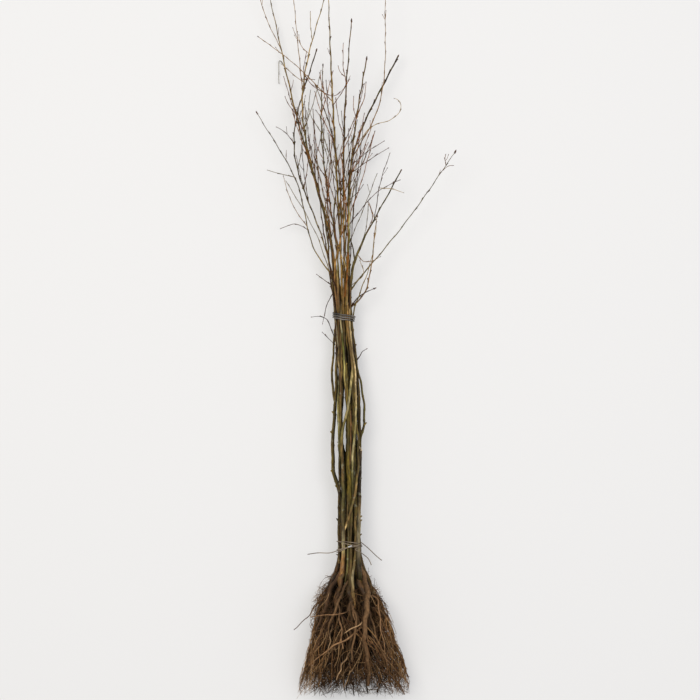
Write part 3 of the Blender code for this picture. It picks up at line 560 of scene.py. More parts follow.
def side_limb(rng, carrier, way, turn, length, spread, towards, radius, tip_radius):
    """A side twig or rootlet. It leaves its carrier at a share of its length, turned about it and spread from
    its heading, and bends half way to the direction that it grows towards."""
    place = way * (len(carrier.points) - 1)
    k = min(int(place), len(carrier.points) - 2)
    part = place - k
    start = carrier.points[k] * (1 - part) + carrier.points[k + 1] * part
    heading = carrier.headings[k]
    side = np.cross(heading, (0.0, 0.0, 1.0))
    side /= np.linalg.norm(side)
    other = np.cross(heading, side)
    out = side * math.cos(turn) + other * math.sin(turn)
    leaves = heading * math.cos(spread) + out * math.sin(spread)
    ends = leaves + towards + rng.normal(0, WANDER, 3)
    ends /= np.linalg.norm(ends)
    t = np.linspace(0, 1, TWIG_POINTS)[:, None]
    line = start + length * (leaves * (t - t * t / 2) + ends * t * t / 2)
    radii = tip_radius + (radius - tip_radius) * (1 - t[:, 0]) ** ROOT_TAPER
    return Limb(on_floor(line, radii), radii)


# %% Growing twigs and side roots
def crown_twigs(rng, leader):
    """A crown's seeded twigs, shorter towards its tip and drawn upright."""
    reach = leader.points[-1][1] - leader.points[0][1]
    for k in range(TWIG_TRIES):
        way = TWIG_WAYS[0] + TWIG_WAYS[1] * (k + 0.5) / TWIG_TRIES
        length = rng.uniform(0.5, 1.0) * (TWIG_LENGTH + TWIG_REACH * reach * (1 - way))
        spread = math.radians(rng.uniform(*TWIG_SPREAD) + TWIG_OPENING * way)
        turn = k * GOLDEN_ANGLE + rng.uniform(-TWIG_TURN, TWIG_TURN)
        radius = TWIG_RADIUS + TWIG_THICKENING * length
        yield side_limb(rng, leader, way, turn, length, spread, UPRIGHT, radius, TWIG_TIP_RADIUS)


def side_roots(rng, main_root):
    """A whip's seeded side roots, drawn down and away."""
    for k in range(ROOT_TRIES):
        way = ROOT_WAYS[0] + ROOT_WAYS[1] * rng.random()
        length = rng.uniform(*ROOT_LENGTH) * (1 - 0.5 * way)
        spread = math.radians(rng.uniform(*ROOT_SPREAD))
        turn = k * GOLDEN_ANGLE + rng.uniform(-ROOT_TURN, ROOT_TURN)
        radius = min(ROOT_RADIUS + ROOT_THICKENING * length, THICKEST_SIDE_ROOT)
        yield side_limb(rng, main_root, way, turn, length, spread, DOWNWARD, radius, ROOT_TIP_RADIUS)


def add_clear(space, piece, limbs, within, most):
    """Adds those limbs that keep within a space and touch no other piece, up to a number."""
    ends = within[0][0], within[-1][0]
    for limb in limbs:
        if most and in_space(within, ends, limb.points).all() and space.room(limb, piece) > CLEARANCE:
            space.add(piece, limb)
            most -= 1


# %% [markdown]
# ## The whole plant
#
# The order is that of the plant's years: roots, stems and leaders, then the tied-in boughs, the shoots, and
# last the twigs and side roots.

# %% Grow the plant
def settled_strands():
    """The whips from root to tip and the tied-in boughs, pressed together."""
    levels = np.arange(*PLANT_ENDS, LEVEL_STEP)
    strands = list(WHIPS) + list(LOW_BOUGHS)
    target, radii, present = [], [], []
    for whip in WHIPS.values():
        target.append(whip_target(whip, levels))
        radii.append(whip_radius(whip, levels))
        present.append((levels >= whip.root[1]) & (levels <= whip.tip[1]))
    for bough in LOW_BOUGHS.values():
        target.append(low_bough_target(bough, levels))
        radii.append(low_bough_radius(bough, levels))
        present.append((levels >= bough.leaves + FOOT_ROOM) & (levels <= bough.tip[1]))
    target, radii, present = np.array(target), np.array(radii), np.array(present)
    limbs = {}
    middles = settle(strands, target, radii, present, levels)
    for strand, middle, radius, here in zip(strands, middles, radii, present):
        line = np.column_stack([middle[here, 0], levels[here], middle[here, 1]])
        limbs[strand] = Limb(line, radius[here])
    return limbs


def thinned(limb, step):
    """The limb with a point every so far along, and its two ends."""
    every = max(1, round(step / LEVEL_STEP))
    keep = np.zeros(len(limb.points), bool)
    keep[::every] = True
    keep[-every:] = False
    keep[[0, -1]] = True
    return Limb(limb.points[keep], limb.radii[keep], limb.headings[keep])


def grow():
    """Every piece of the plant, as a list of limbs by the piece's name."""
    strands = settled_strands()
    space = Space()
    for name in WHIPS:
        root, rest = strands[name].split(0.0)
        stem, leader = rest.split(CROWN_BASE)
        root = Limb(root.points[::-1], root.radii[::-1], -root.headings[::-1])
        space.add("stem_" + name, thinned(stem, STEM_RING_STEP))
        space.add("crown_" + name, thinned(leader, STEM_RING_STEP))
        space.add("roots_" + name, thinned(root, ROOT_RING_STEP))
    for name, bough in LOW_BOUGHS.items():
        stem = space.pieces["stem_" + bough.whip][0]
        space.add(name, with_foot(stem, thinned(strands[name], STEM_RING_STEP)))
    for name, (whip, shoot, twigs_from) in SIDE_BOUGHS.items():
        bough, rest = clear_limb(bough_limb, space, "stem_" + whip, shoot).split(twigs_from)
        space.add("bough_" + name, bough)
        space.add("crown_" + name, rest)
    for name, shoots in SHOOTS.items():
        for shoot in shoots:
            limb = clear_limb(shoot_limb, space, "crown_" + name, shoot)
            if limb is not None:
                space.add("crown_" + name, limb)
    for seeded, piece, names, seed, within, most in (
        (crown_twigs, "crown_", SHOOTS, CROWN_SEED, CROWN_SPACE, TWIGS_PER_CROWN),
        (side_roots, "roots_", WHIPS, ROOT_SEED, ROOT_SPACE, ROOTS_PER_WHIP),
    ):
        for number, name in enumerate(names):
            limbs = seeded(default_rng(seed + number), space.pieces[piece + name][0])
            add_clear(space, piece + name, limbs, within, most)
    return space.pieces


pieces = grow()
print(len(pieces), "pieces,", sum(map(len, pieces.values())), "limbs")

# %% [markdown]
# ## Is it the same plant?
#
# The rule is written here and in the part's source, so it is measured: each piece's limbs should fill the box
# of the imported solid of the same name.

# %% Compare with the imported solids
def limb_box(limbs):
    """The lowest and highest corner, in metres, of the discs round the limbs' points. A disc reaches its radius
    times the sine of the angle between its heading and each axis."""
    points = np.concatenate([limb.points for limb in limbs])
    sines = np.sqrt(np.clip(1 - np.concatenate([limb.headings for limb in limbs]) ** 2, 0, 1))
    reach = np.concatenate([limb.radii for limb in limbs])[:, None] * sines
    move = (0, COLLAR_Y, 0)
    return ((points - reach).min(axis=0) + move) / METRE, ((points + reach).max(axis=0) + move) / METRE


worst = 0.0
for name, limbs in pieces.items():
    for ours, theirs in zip(limb_box(limbs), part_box(name)):
        worst = max(worst, float(np.abs(ours - np.array(theirs)).max()))
print("largest difference of a box from its solid's:", round(worst * METRE, 1), "mm")

# %% [markdown]
# ## Colours and materials
#
# Colours are sRGB hex values, as they are read off a screen, and one function turns them to the linear values
# that nodes mix. One more adds a node with its settings and links. A material's colour is a list of layers,
# and a last function mixes them.

# %% Colour and node helpers
def linear(colour):
    """The linear colour of an sRGB hex value."""
    channels = [int(colour[i : i + 2], 16) / 255 for i in (0, 2, 4)]
    return [c / 12.92 if c < 0.04045 else ((c + 0.055) / 1.055) ** 2.4 for c in channels] + [1.0]


def feed(node, inputs):
    """Gives inputs of a node, by name or number, a value each or another node's output."""
    for key, given in inputs.items():
        if isinstance(given, bpy.types.NodeSocket):
            node.id_data.links.new(given, node.inputs[key])
        else:
            node.inputs[key].default_value = given


def add_node(tree, kind, inputs=None, output=0, **settings):
    """Adds a node with its settings and inputs, and gives one of its outputs."""
    node = tree.nodes.new("ShaderNode" + kind)
    for key, setting in settings.items():
        setattr(node, key, setting)
    feed(node, inputs or {})
    return node.outputs[output]


def new_material(name, roughness, metallic=0.0, gloss=0.5):
    """An empty Principled material, its shader, and the function that adds nodes to it."""
    made = bpy.data.materials.new(name)
    made.use_nodes = True
    shader = made.node_tree.nodes["Principled BSDF"]
    feed(shader, {"Roughness": roughness, "Metallic": metallic, "Specular IOR Level": gloss})
    return made, shader, partial(add_node, made.node_tree)


COLOUR = 2  # the number of a Mix node's colour output, and of its colour inputs
FIRST, SECOND = 6, 7
PAINT, STAIN = "MIX", "MULTIPLY"  # the ways in which a layer covers or tints what is under it


def mix_layers(shader, add, colour, layers, height=None, strength=0.0, distance=0.0):
    """Gives a shader the colour under some layers, each a way, a share and a tint, and the bumps of a height,
    as high as a distance in metres."""
    for way, share, tint in layers:
        inputs = {0: share, FIRST: colour, SECOND: tint}
        colour = add("Mix", inputs, COLOUR, data_type="RGBA", blend_type=way)
    feed(shader, {"Base Color": colour})
    if height is not None:
        bumps = {"Height": height, "Strength": strength, "Distance": distance}
        feed(shader, {"Normal": add("Bump", bumps)})


print("olive bark 5c5230 in linear light:", [round(c, 3) for c in linear("5c5230")])

# %% [markdown]
# ## Bark of a young oak
#
# A whip's bark is thin, smooth cork over green tissue: olive where algae grow, orange to red brown on last
# summer's growth, earth brown on the root. Streaks run along it, and lenticels, its pores, are pale warts of 1
# mm. A ramp along Y gives the colours, noise stretched along Y the streaks, and a Voronoi pattern the
# lenticels. Between the stems shade is painted into the colour: an attribute of the mesh, worked out from each
# point's depth. An image could hold all that, but not for any size.

# %% Bark
STREAK_WIDTH = 4.5
STREAK_STRETCH = 5.5  # how much longer than wide a streak is
PATCH_SIZE = 30.0
LENTICEL_GAP = 7.0
LENTICEL_SIZE = 0.13  # of the gap
ALGAE_GREEN = "6e6c2e"
LICHEN_GREY = "a3a488"
ROOT_END = "3a2417"
LENTICEL_CORK = "a8946a"
WHIP_ENDS = (-1.12, 1.12)  # metres, the ends of the ramp
TINT_PLACES = (-1.12, -0.84, -0.745, -0.60, -0.36, -0.10, 0.12, 0.42, 0.95)


def bark_material(name, stops, shift, algae):
    """Bark that changes along the whip through stops, each a place along Y and a tint. Shift moves its
    patterns, so that no two are alike."""
    made, shader, add = new_material(name, 0.6, gloss=0.2)
    coords = add("TexCoord", output="Object")
    place = add("Mapping", {"Vector": coords, "Location": shift})
    along = add("SeparateXYZ", {"Vector": coords}, "Y")
    share = add("MapRange", {"Value": along, 1: WHIP_ENDS[0], 2: WHIP_ENDS[1]})
    ramp = add("ValToRGB", {"Fac": share})
    marks = ramp.node.color_ramp.elements
    for k, (y, tint) in enumerate(stops):
        position = (y - WHIP_ENDS[0]) / (WHIP_ENDS[1] - WHIP_ENDS[0])
        mark = marks[k] if k < 2 else marks.new(position)
        mark.position, mark.color = position, linear(tint)
    drawn = add("Mapping", {"Vector": place, "Scale": (1, 1 / STREAK_STRETCH, 1)})
    grain = METRE / STREAK_WIDTH
    streaks = add("TexNoise", {"Vector": drawn, "Scale": grain, "Detail": 3.0, "Roughness": 0.6})
    blotches = add("TexNoise", {"Vector": drawn, "Scale": METRE / PATCH_SIZE, "Detail": 2.0})
    patches = add("TexNoise", {"Vector": place, "Scale": METRE / PATCH_SIZE * 1.7, "Detail": 4.0})
    cells = add("TexVoronoi", {"Vector": place, "Scale": METRE / LENTICEL_GAP}, "Distance")
    shade, tone, green, grey, wart, rough = (
        add("MapRange", {"Value": noise, 1: low, 2: high, 3: least, 4: most})
        for noise, low, high, least, most in (
            (streaks, 0.32, 0.68, 0.4, 1.7),
            (blotches, 0.35, 0.65, 0.55, 1.5),
            (patches, 0.5, 0.62, 0.0, algae),
            (patches, 0.38, 0.32, 0.0, 0.4),
            (cells, LENTICEL_SIZE, LENTICEL_SIZE * 0.6, 0.0, 0.4),
            (blotches, 0.3, 0.7, 0.48, 0.74),
        )
    )
    layers = (
        (STAIN, 1.0, shade),
        (STAIN, 1.0, tone),
        (PAINT, green, linear(ALGAE_GREEN)),
        (PAINT, grey, linear(LICHEN_GREY)),
        (PAINT, wart, linear(LENTICEL_CORK)),
        # painted shade: the share of colour kept by the mesh's attribute, less between the stems and on inward
        # flanks
        (STAIN, 1.0, add("Attribute", output="Fac", attribute_name="painted_light_and_node_tone")),
    )
    height = add("Math", {0: streaks, 1: wart}, operation="ADD")
    mix_layers(shader, add, ramp, layers, height, 0.6, 0.0008)
    feed(shader, {"Roughness": rough})
    return made


# Each whip's own tints: root, foot, lower, middle and upper stem, and three of its leader
# The lower stem's tints are dark, partly the bark's own colour and partly painted shade, so that the stems
# under the strands in front show as dark gaps.
TINTS = {
    "01": "6a4222 58391a 3c2d12 60501f 786127 746032 52431b 45311d",
    "02": "5c3718 65411c 403112 62521c 84602e 785a30 4f3d1b 846d41",
    "03": "7c5a3a 9a6a3c 594118 686520 9a7436 866030 624619 907848",
    "04": "6a4020 5c4119 382b0e 5e651b 806030 7c5c30 574119 563c21",
    "05": "7a5a3a 654b21 433614 836e24 8a7434 8e6c38 6a5120 8b713e",
    "06": "785030 65451e 403112 835b1d 8c682e 84602e 5e451b 634724",
    "07": "7e5c40 654520 433314 74622a 9c8038 8c6e3c 674e1b 452d1a",
    "08": "57361e 4f3b1a 382b11 62521d 7f6123 6c5c34 4c411c 3a2719",
    "09": "6c4926 5c4523 473618 716024 846827 6a5c34 493e1c 45331f",
    "10": "53351c 493517 34270f 5b501d 73591f 745a30 523f1c 72552e",
    "low_front": "6c4624 66502e 866a40 4a3c1c 6e5a2a 926a22 523f1b 564021",
    "low_right": "6c4624 63411e 473619 5e5022 635225 856a26 5e481c 564021",
    "low_middle": "6c4624 63411e 72521b 6c5a24 745c2e 745a2e 624a1c 564021",
}
BARK = {}
for number, (whip, tints) in enumerate(TINTS.items()):
    stops = list(zip(TINT_PLACES, (ROOT_END, *tints.split())))
    shift = (0.37 * number, 0.61 * number, 0.23 * number)
    BARK[whip] = bark_material("young_oak_bark_" + whip, stops, shift, 0.15 + 0.12 * (number % 4))
lenticel = round(LENTICEL_GAP * LENTICEL_SIZE * 2, 1)
print(len(BARK), "barks, streaks of", STREAK_WIDTH, "mm, lenticels of", lenticel, "mm")

# %% [markdown]
# ## Twigs, buds, roots and wire
#
# A twig of last summer is smooth, a little glossy, and red brown to straw: tones that are dealt out twig by
# twig, under a fine mottle. Buds have hard dark scales with pale rims. Roots are matt. The wire is galvanised
# steel, whose zinc has dulled to grey; at the lower tie's twist it is a pale zinc, lighter as a painted glint.

# %% Twig, bud, root and wire finishes
TWIG_TONES = ("6a3e12", "804a12", "4e3012", "46280e", "8a5216", "5e4c14")
STRAW_TONES = ("a48a58", "8e6c3e")
ROOT_TONES = ("785a3c", "94704e", "644830", "bc9870")
HAIR_TONES = ("745032", "523822", "90683f", "a67e50", "bc966a")
SCALE_WIDTH, SCALE_RIM = 1.6, "7a5a3c"  # of a bud's scales, in millimetres and as a tone
ZINC_PATCH = 40.0


def mottled_material(name, tone, roughness, size, stretch):
    """A plain tone, mottled by noise of a size in millimetres, and darkened by the painted shade and the
    node rings that the mesh carries.
    """
    made, shader, add = new_material(name, roughness, gloss=0.2)
    coords = add("TexCoord", output="Object")
    drawn = add("Mapping", {"Vector": coords, "Scale": (1, 1 / stretch, 1)})
    mottle = add("TexNoise", {"Vector": drawn, "Scale": METRE / size, "Detail": 3.0})
    shade = add("MapRange", {"Value": mottle, 1: 0.3, 2: 0.7, 3: 0.55, 4: 1.45})
    # painted shade from the mesh's attribute, with the darker rings of twig nodes
    painted_light_and_node_tone = add("Attribute", output="Fac", attribute_name="painted_light_and_node_tone")
    mix_layers(shader, add, linear(tone), ((STAIN, 1.0, shade), (STAIN, 1.0, painted_light_and_node_tone)), mottle, 0.4, 0.0005)
    return made


def bud_material(name, tone):
    """Bud scales: cells that are dark with paler rims, a little glossy."""
    made, shader, add = new_material(name, 0.45)
    coords = add("TexCoord", output="Object")
    cells = add("TexVoronoi", {"Vector": coords, "Scale": METRE / SCALE_WIDTH}, "Distance")
    rim = add("MapRange", {"Value": cells, 1: 0.35, 2: 0.7, 4: 0.35})
    mix_layers(shader, add, linear(tone), ((PAINT, rim, linear(SCALE_RIM)),))
    return made


def wire_material(name, light, dull):
    """Galvanised wire: a metal with the default IOR, whose zinc has dulled in patches."""
    made, shader, add = new_material(name, 0.5, 0.5)
    coords = add("TexCoord", output="Object")
    bloom = add("TexNoise", {"Vector": coords, "Scale": METRE / ZINC_PATCH})
    patches = add("MapRange", {"Value": bloom, 1: 0.4, 2: 0.6})
    mix_layers(shader, add, linear(light), ((PAINT, patches, linear(dull)),))
    return made


def mottled_set(name, tones, *looks):
    """Materials of one kind, one for each tone."""
    return [mottled_material(f"{name}_{k}", tone, *looks) for k, tone in enumerate(tones)]


TWIG_BARK = mottled_set("twig_bark", TWIG_TONES, 0.5, 3.0, 5.0)
STRAW_BARK = mottled_set("straw_twig_bark", STRAW_TONES, 0.5, 3.0, 5.0)
ROOT_BARK = mottled_set("root_bark", ROOT_TONES, 0.8, 4.0, 3.0)
HAIR_BARK = mottled_set("root_hair", HAIR_TONES, 0.85, 5.0, 3.0)
CUT_WOOD = mottled_material("cut_oak_wood", "e0c8a0", 0.8, 3.0, 1.0)
BUD_SCALES = [bud_material("bud_scales_dark", "301e12"), bud_material("bud_scales_red", "4c2c18")]
# the third finish is a pale zinc, lighter than the others as a painted glint on the lower tie's twist
WIRES = [wire_material("galvanised_wire", "827c76", "403e3a"), wire_material("rusty_wire", "948470", "62564a"),
         wire_material("zinc_painted_glint", "d4d6da", "a4a6aa")]
print(len(TWIG_BARK + STRAW_BARK), "twig tones,", len(ROOT_BARK + HAIR_BARK), "root tones")

# %% [markdown]
# ## Surfaces from rings
#
# Everything on the plant is a tapering tube, so one function makes them all: rings of points square to a line,
# as one array of tube, ring, side and coordinate. A ring's first point lies square to the axis that the line
# runs along least, so a tube doesn't twist.

# %% Rings and joined surfaces
TURN = 2 * math.pi


def unit(vectors):
    """Vectors scaled to a length of 1."""
    return vectors / np.maximum(np.linalg.norm(vectors, axis=-1, keepdims=True), 1e-9)


def around(heading, axis, angle):
    """The direction square to a heading at an angle round it: a first direction times the cosine, plus a second
    one times the sine."""
    first = unit(np.cross(heading, axis))
    return first * np.cos(angle) + np.cross(heading, first) * np.sin(angle)


def rings(lines, radii, sides):
    """The points of tubes round lines: point = middle + radius times (first direction times cosine + second
    direction times sine) of the angle. Lines are (tube, ring, 3), radii (tube, ring) or (tube, ring, side)."""
    headings = unit(np.gradient(lines, axis=1))
    axis = np.eye(3)[np.abs(headings.mean(axis=1)).argmin(axis=1)][:, None, None]
    spokes = around(headings[:, :, None], axis, (np.arange(sides) * TURN / sides)[:, None])
    if radii.ndim == 2:
        radii = radii[..., None]
    return lines[:, :, None] + spokes * radii[..., None]


class Surfaces:
    """Tubes joined into one mesh, with quads for sides and a flat face at each end. A tone picks a tube's
    material, and a share of its colour is kept at each point: less where shade is painted into it, and at the
    darker rings of the nodes of leaders and twigs."""

    def __init__(self):
        self.points, self.corners, self.sizes, self.tones, self.painted_light_and_node_tone = [], [], [], [], []
        self.count = 0

    def add(self, grid, tones, painted_light_and_node_tone=1.0):
        """Adds tubes given as (tube, ring, side, 3), with one tone for all or one for each tube."""
        tubes, ring_count, sides = grid.shape[:3]
        index = np.arange(tubes * ring_count * sides).reshape(tubes, ring_count, sides) + self.count
        after = np.roll(index, -1, axis=2)
        quads = np.stack([index[:, :-1], after[:, :-1], after[:, 1:], index[:, 1:]], axis=-1)
        tones = np.broadcast_to(np.asarray(tones, int), tubes)
        for faces in (quads.reshape(-1, 4), index[:, 0, ::-1], index[:, -1]):
            self.corners.append(faces.ravel())
            self.sizes.append(np.full(len(faces), faces.shape[1]))
            self.tones.append(np.repeat(tones, len(faces) // tubes))
        self.points.append(grid.reshape(-1, 3))
        self.painted_light_and_node_tone.append(np.broadcast_to(painted_light_and_node_tone, grid.shape[:3]).ravel())
        self.count += index.size


def make_piece(name, surfaces, finishes, nodes=()):
    """One object from joined surfaces: in metres, within the solids' box, riding on the root body, and standing
    for the given nodes."""
    points = (np.concatenate(surfaces.points) + (0.0, COLLAR_Y, 0.0)) / METRE
    points = np.clip(points, np.array(cad_low), np.array(cad_high)).astype(np.float32)
    corners, sizes = np.concatenate(surfaces.corners), np.concatenate(surfaces.sizes)
    mesh = bpy.data.meshes.new(name)
    mesh.vertices.add(len(points))
    mesh.loops.add(len(corners))
    mesh.polygons.add(len(sizes))
    # the share of colour kept at each point: painted shade, times the darker rings at twig nodes
    painted_light_and_node_tone = mesh.attributes.new("painted_light_and_node_tone", "FLOAT", "POINT")
    for layer, field, values, kind in (
        (mesh.vertices, "co", points, np.float32),
        (mesh.loops, "vertex_index", corners, np.int32),
        (mesh.polygons, "loop_start", np.cumsum(sizes) - sizes, np.int32),
        (mesh.polygons, "material_index", np.concatenate(surfaces.tones), np.int32),
        (painted_light_and_node_tone.data, "value", np.concatenate(surfaces.painted_light_and_node_tone), np.float32),
    ):
        layer.foreach_set(field, values.astype(kind).ravel())
    for finish in finishes:
        mesh.materials.append(finish)
    mesh.update(calc_edges=True)
    mesh.shade_smooth()
    piece = bpy.data.objects.new(name, mesh)
    bpy.context.scene.collection.objects.link(piece)
    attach(piece, "root")
    if nodes:
        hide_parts(*nodes)
    print(name, int((sizes - 2).sum()), "triangles")


print("a tube of 24 sides and 300 rings has", 2 * 24 * 299 + 2 * 22, "triangles")

# %% [markdown]
# ## The relief of bark
#
# A stem swells at each node, where a leaf and its bud stood, is faintly five-sided, and wanders from node to
# node. The radius is a function of the way along and the angle round: the taper, times a few sines of both,
# plus a bell at each node. A displacement modifier could do that, but the buds need the nodes' places.

# %% Relief
PHYLLOTAXY = 2 / 5  # of a turn from one bud to the next, as oaks have it
NODE_LENGTH = 1.2  # of the step between rings
# How a limb is dressed: its sides, the step between rings, its lumps as a share of its radius, the gap between
# its nodes and their height, how far and over what length it wanders, and how much darker it is at a node
Look = namedtuple(
    "Look", "sides step lumps node_gap node_height wander wander_length node_shade", defaults=(0.0,)
)
STEM_LOOK = Look(20, 3.0, 0.075, 52.0, 1.3, 0.9, 105.0)
BOUGH_LOOK = Look(14, 3.0, 0.07, 40.0, 1.0, 1.2, 80.0)
LEADER_LOOK = Look(12, 4.0, 0.07, 34.0, 1.2, 0.9, 90.0, 0.5)
TWIG_LOOK = Look(7, 4.0, 0.05, 30.0, 1.0, 0.7, 65.0, 0.4)
ROOT_LOOK = Look(18, 4.0, 0.16, 45.0, 1.0, 3.4, 80.0)
SIDE_ROOT_LOOK = Look(8, 5.0, 0.13, 45.0, 0.4, 3.0, 60.0)
# A limb's fine line: its points, its radii, the way along it, and its nodes' ways and angles
Dressed = namedtuple("Dressed", "line radii way nodes angles")


def dress(rng, limb, look, short=0.0):
    """A limb's line resampled at the look's step, wandering by sines that die away at its ends, and ended short
    of its tip for a bud."""
    at = way_along(limb.points)
    length = at[-1] - short
    way = np.linspace(0, length, max(4, round(length / look.step)))
    line = smooth(at, limb.points, way)
    radii = np.interp(way, at, limb.radii)
    calm = np.clip(np.minimum(way, length - way) / (0.5 * look.wander_length), 0, 1)
    turns = TURN * way[:, None] / (look.wander_length * rng.uniform(0.7, 1.3, 3))
    line = line + look.wander * calm[:, None] * np.sin(turns + rng.uniform(0, TURN, 3)) * (1, 0.2, 1)
    line[:, 2] = np.maximum(line[:, 2], radii + 0.3)
    count = int(length / look.node_gap)
    nodes = look.node_gap * (np.arange(count) + rng.uniform(0.35, 0.65, count))
    angles = TURN * (PHYLLOTAXY * np.arange(count) + rng.random()) + rng.uniform(-0.25, 0.25, count)
    return Dressed(line, radii, way, nodes, angles)


def near_nodes(dressed, look):
    """How near each ring is to each node: a bell of the distance between them."""
    return np.exp(-(((dressed.way[:, None] - dressed.nodes) / (NODE_LENGTH * look.step)) ** 2))


def relief(rng, dressed, look):
    """Radii by ring and side: taper times (1 + lumps), plus a bell at each node. A lump is a sine of the way
    times a cosine of one to five times the angle; a bell falls off along and round."""
    angle = np.arange(look.sides) * TURN / look.sides
    times_round = np.array([1, 2, 3, 5, 5])
    length = look.wander_length * rng.uniform(0.25, 0.9, 5)
    phase = rng.uniform(0, TURN, (2, 5))
    waves = np.sin(TURN * dressed.way[:, None, None] / length + phase[0])
    lumps = (waves * np.cos(angle[:, None] * times_round + phase[1])).sum(axis=2) * look.lumps / 2
    calm = np.clip(np.minimum(dressed.way, dressed.way[-1] - dressed.way) / 10.0, 0, 1)[:, None]
    round_it = np.exp(2.5 * (np.cos(angle[:, None] - dressed.angles) - 1)) + 0.25
    bells = look.node_height * near_nodes(dressed, look) @ round_it.T
    return dressed.radii[:, None] * (1 + calm * lumps) + calm * bells


LAID = 6.0  # how far the strands that are laid on the stems stand out, and so how much deeper the painted shade is under them
# The outline under which shade is painted, and up to which the front roots rise: along, across, up, half
# width and half depth
OUTLINE = (
    (-400.0, -10.0, 70.0, 182.0, 120.0),
    (-230.0, -7.0, 85.0, 143.0, 115.0),
    (-90.0, -21.0, 92.0, 119.0, 98.0),
    (-38.0, -20.0, 90.0, 90.0, 64.0),
    *((*row[:4], row[4] + LAID) for row in SECTIONS[2:]),
)
PAINTED_SHADE_DEPTH = (  # along, the depth at which the painted shade is darkest, the colour kept there, and that on a flank, as shares
    (-90.0, 85.0, 0.30, 0.55),
    (10.0, 15.0, 0.10, 0.30),
)
CROWN_OPENS = (810.0, 950.0)  # along, over which the stems' painted shade fades out


def painted_light_on(grid, middles):
    """The share of colour kept at each point, which paints shade into it: less with the depth below the
    outline, an ellipse at each place along, and least on the flanks that don't face outwards."""
    along = grid[..., 1]
    across, up, half_width, half_depth = read_off(OUTLINE, along)
    off = np.stack([grid[..., 0] - across, grid[..., 2] - up], axis=-1)
    distance = np.maximum(np.linalg.norm(off, axis=-1), 1e-6)
    way = off / distance[..., None]
    edge = 1 / np.sqrt((way[..., 0] / half_width) ** 2 + (way[..., 1] / half_depth) ** 2)
    dark_at, darkest, flank = read_off(PAINTED_SHADE_DEPTH, along)
    open_air = np.clip(1 - np.maximum(edge - distance, 0) / dark_at, darkest, 1)
    spoke = unit(grid - middles)
    facing = np.clip(spoke[..., 0] * way[..., 0] + spoke[..., 2] * way[..., 1], 0, 1)
    lit = open_air * (flank + (1 - flank) * facing)
    crown = np.interp(along, CROWN_OPENS, (0, 1))
    return lit * (1 - crown) + crown


# The share of a radius that is kept, at places along, and the least that it comes to
SLIM_AT = (300.0, 400.0, 640.0, 790.0, 880.0, 985.0, 1080.0, 1250.0, 1450.0, 1600.0, 1760.0)
SLIM = (1.0, 0.93, 0.92, 0.85, 0.6, 0.43, 0.46, 0.56, 0.6, 0.52, 0.46)
THINNEST = 0.85
# The least radii, low and high, of the whips whose leader stays thick
STOUT = {"08": (2.3, 2.3), "01": (1.7, 1.7), "07": (1.8, 1.8), "09": (4.2, 1.8), "06": (1.4, 1.4)}
STOUT_AT = (970.0, 1090.0)  # along, between which it goes from the one to the other


def least_radii(whip, limb):
    """The least radii along a whip's stem or leader."""
    return np.interp(limb.points[:, 1], STOUT_AT, STOUT.get(whip, (THINNEST, THINNEST)))


def slimmed(limb, share=1.0, thinnest=THINNEST):
    """A limb with its radii cut to the share that is kept at each place along."""
    kept = np.interp(limb.points[:, 1], SLIM_AT, SLIM) * share
    return Limb(limb.points, np.maximum(limb.radii * kept, thinnest))


def add_limb(surfaces, rng, limb, look, tone, short=0.0, in_open=0.0):
    """Dresses a limb, adds its surface, and gives it back for its buds. Shade is painted into its colour by the
    rule, less of it by the share to which it lies in the open, and its colour is darker at its nodes."""
    dressed = dress(rng, limb, look, short)
    grid = rings(dressed.line[None], relief(rng, dressed, look)[None], look.sides)
    # painted shade by depth and flank, lifted by the share to which the limb lies in the open
    painted_light_and_node_tone = in_open + (1 - in_open) * painted_light_on(grid, dressed.line[None, :, None])
    near = np.clip(near_nodes(dressed, look).sum(axis=1), 0, 1)
    surfaces.add(grid, tone, painted_light_and_node_tone * (1 - look.node_shade * near)[:, None])
    return dressed


print("nodes every", STEM_LOOK.node_gap, "mm on stems and", TWIG_LOOK.node_gap, "mm on twigs")

# %% [markdown]
# ## Stems
#
# Each stem is one swept surface of 20 sides with a ring every 3 mm. Stubs of broken twigs stand on its outer
# side, because those that grew inwards rubbed off when the bundle was tied.

# %% Stubs
PIXEL = 3.1  # millimetres
COLLAR_PIXEL = (356.0, 572.0)
STUB_LENGTH = (2.0, 7.0)  # out of the bark
STUB_RADIUS = 1.9
STUBS_PER_STEM = 7
STEM_SEED = 300


def at_pixel(x, y):
    """Across and along, in millimetres, of a pixel of the photograph."""
    return (x - COLLAR_PIXEL[0]) * PIXEL, (COLLAR_PIXEL[1] - y) * PIXEL


def places_at(pixels):
    """Across and along of some pixels, given as one row of x and y in turn."""
    return np.column_stack(at_pixel(*np.reshape(pixels, (-1, 2)).T))


def stubs(rng, dressed, count):
    """Short cones on the outer side of a stem that lean towards its tip, as lines and radii."""
    picks = rng.integers(8, len(dressed.line) - 8, count)
    feet = dressed.line[picks]
    middle = section_at(feet[:, 1])
    out = np.column_stack([feet[:, 0] - middle[:, 0], np.zeros(count), feet[:, 2] - middle[:, 1]])
    out = unit(unit(out) + rng.normal(0, 0.35, (count, 3)) + (0, 0.9, 0))
    length = dressed.radii[picks] * 1.2 + rng.uniform(*STUB_LENGTH, count)
    way = np.linspace(0, 1, 5)
    lines = feet[:, None] + out[:, None] * (length[:, None] * way)[..., None]
    return lines, STUB_RADIUS * rng.uniform(0.8, 1.5, (count, 1)) * (1 - 0.5 * way)


print(STUBS_PER_STEM, "stubs a stem")

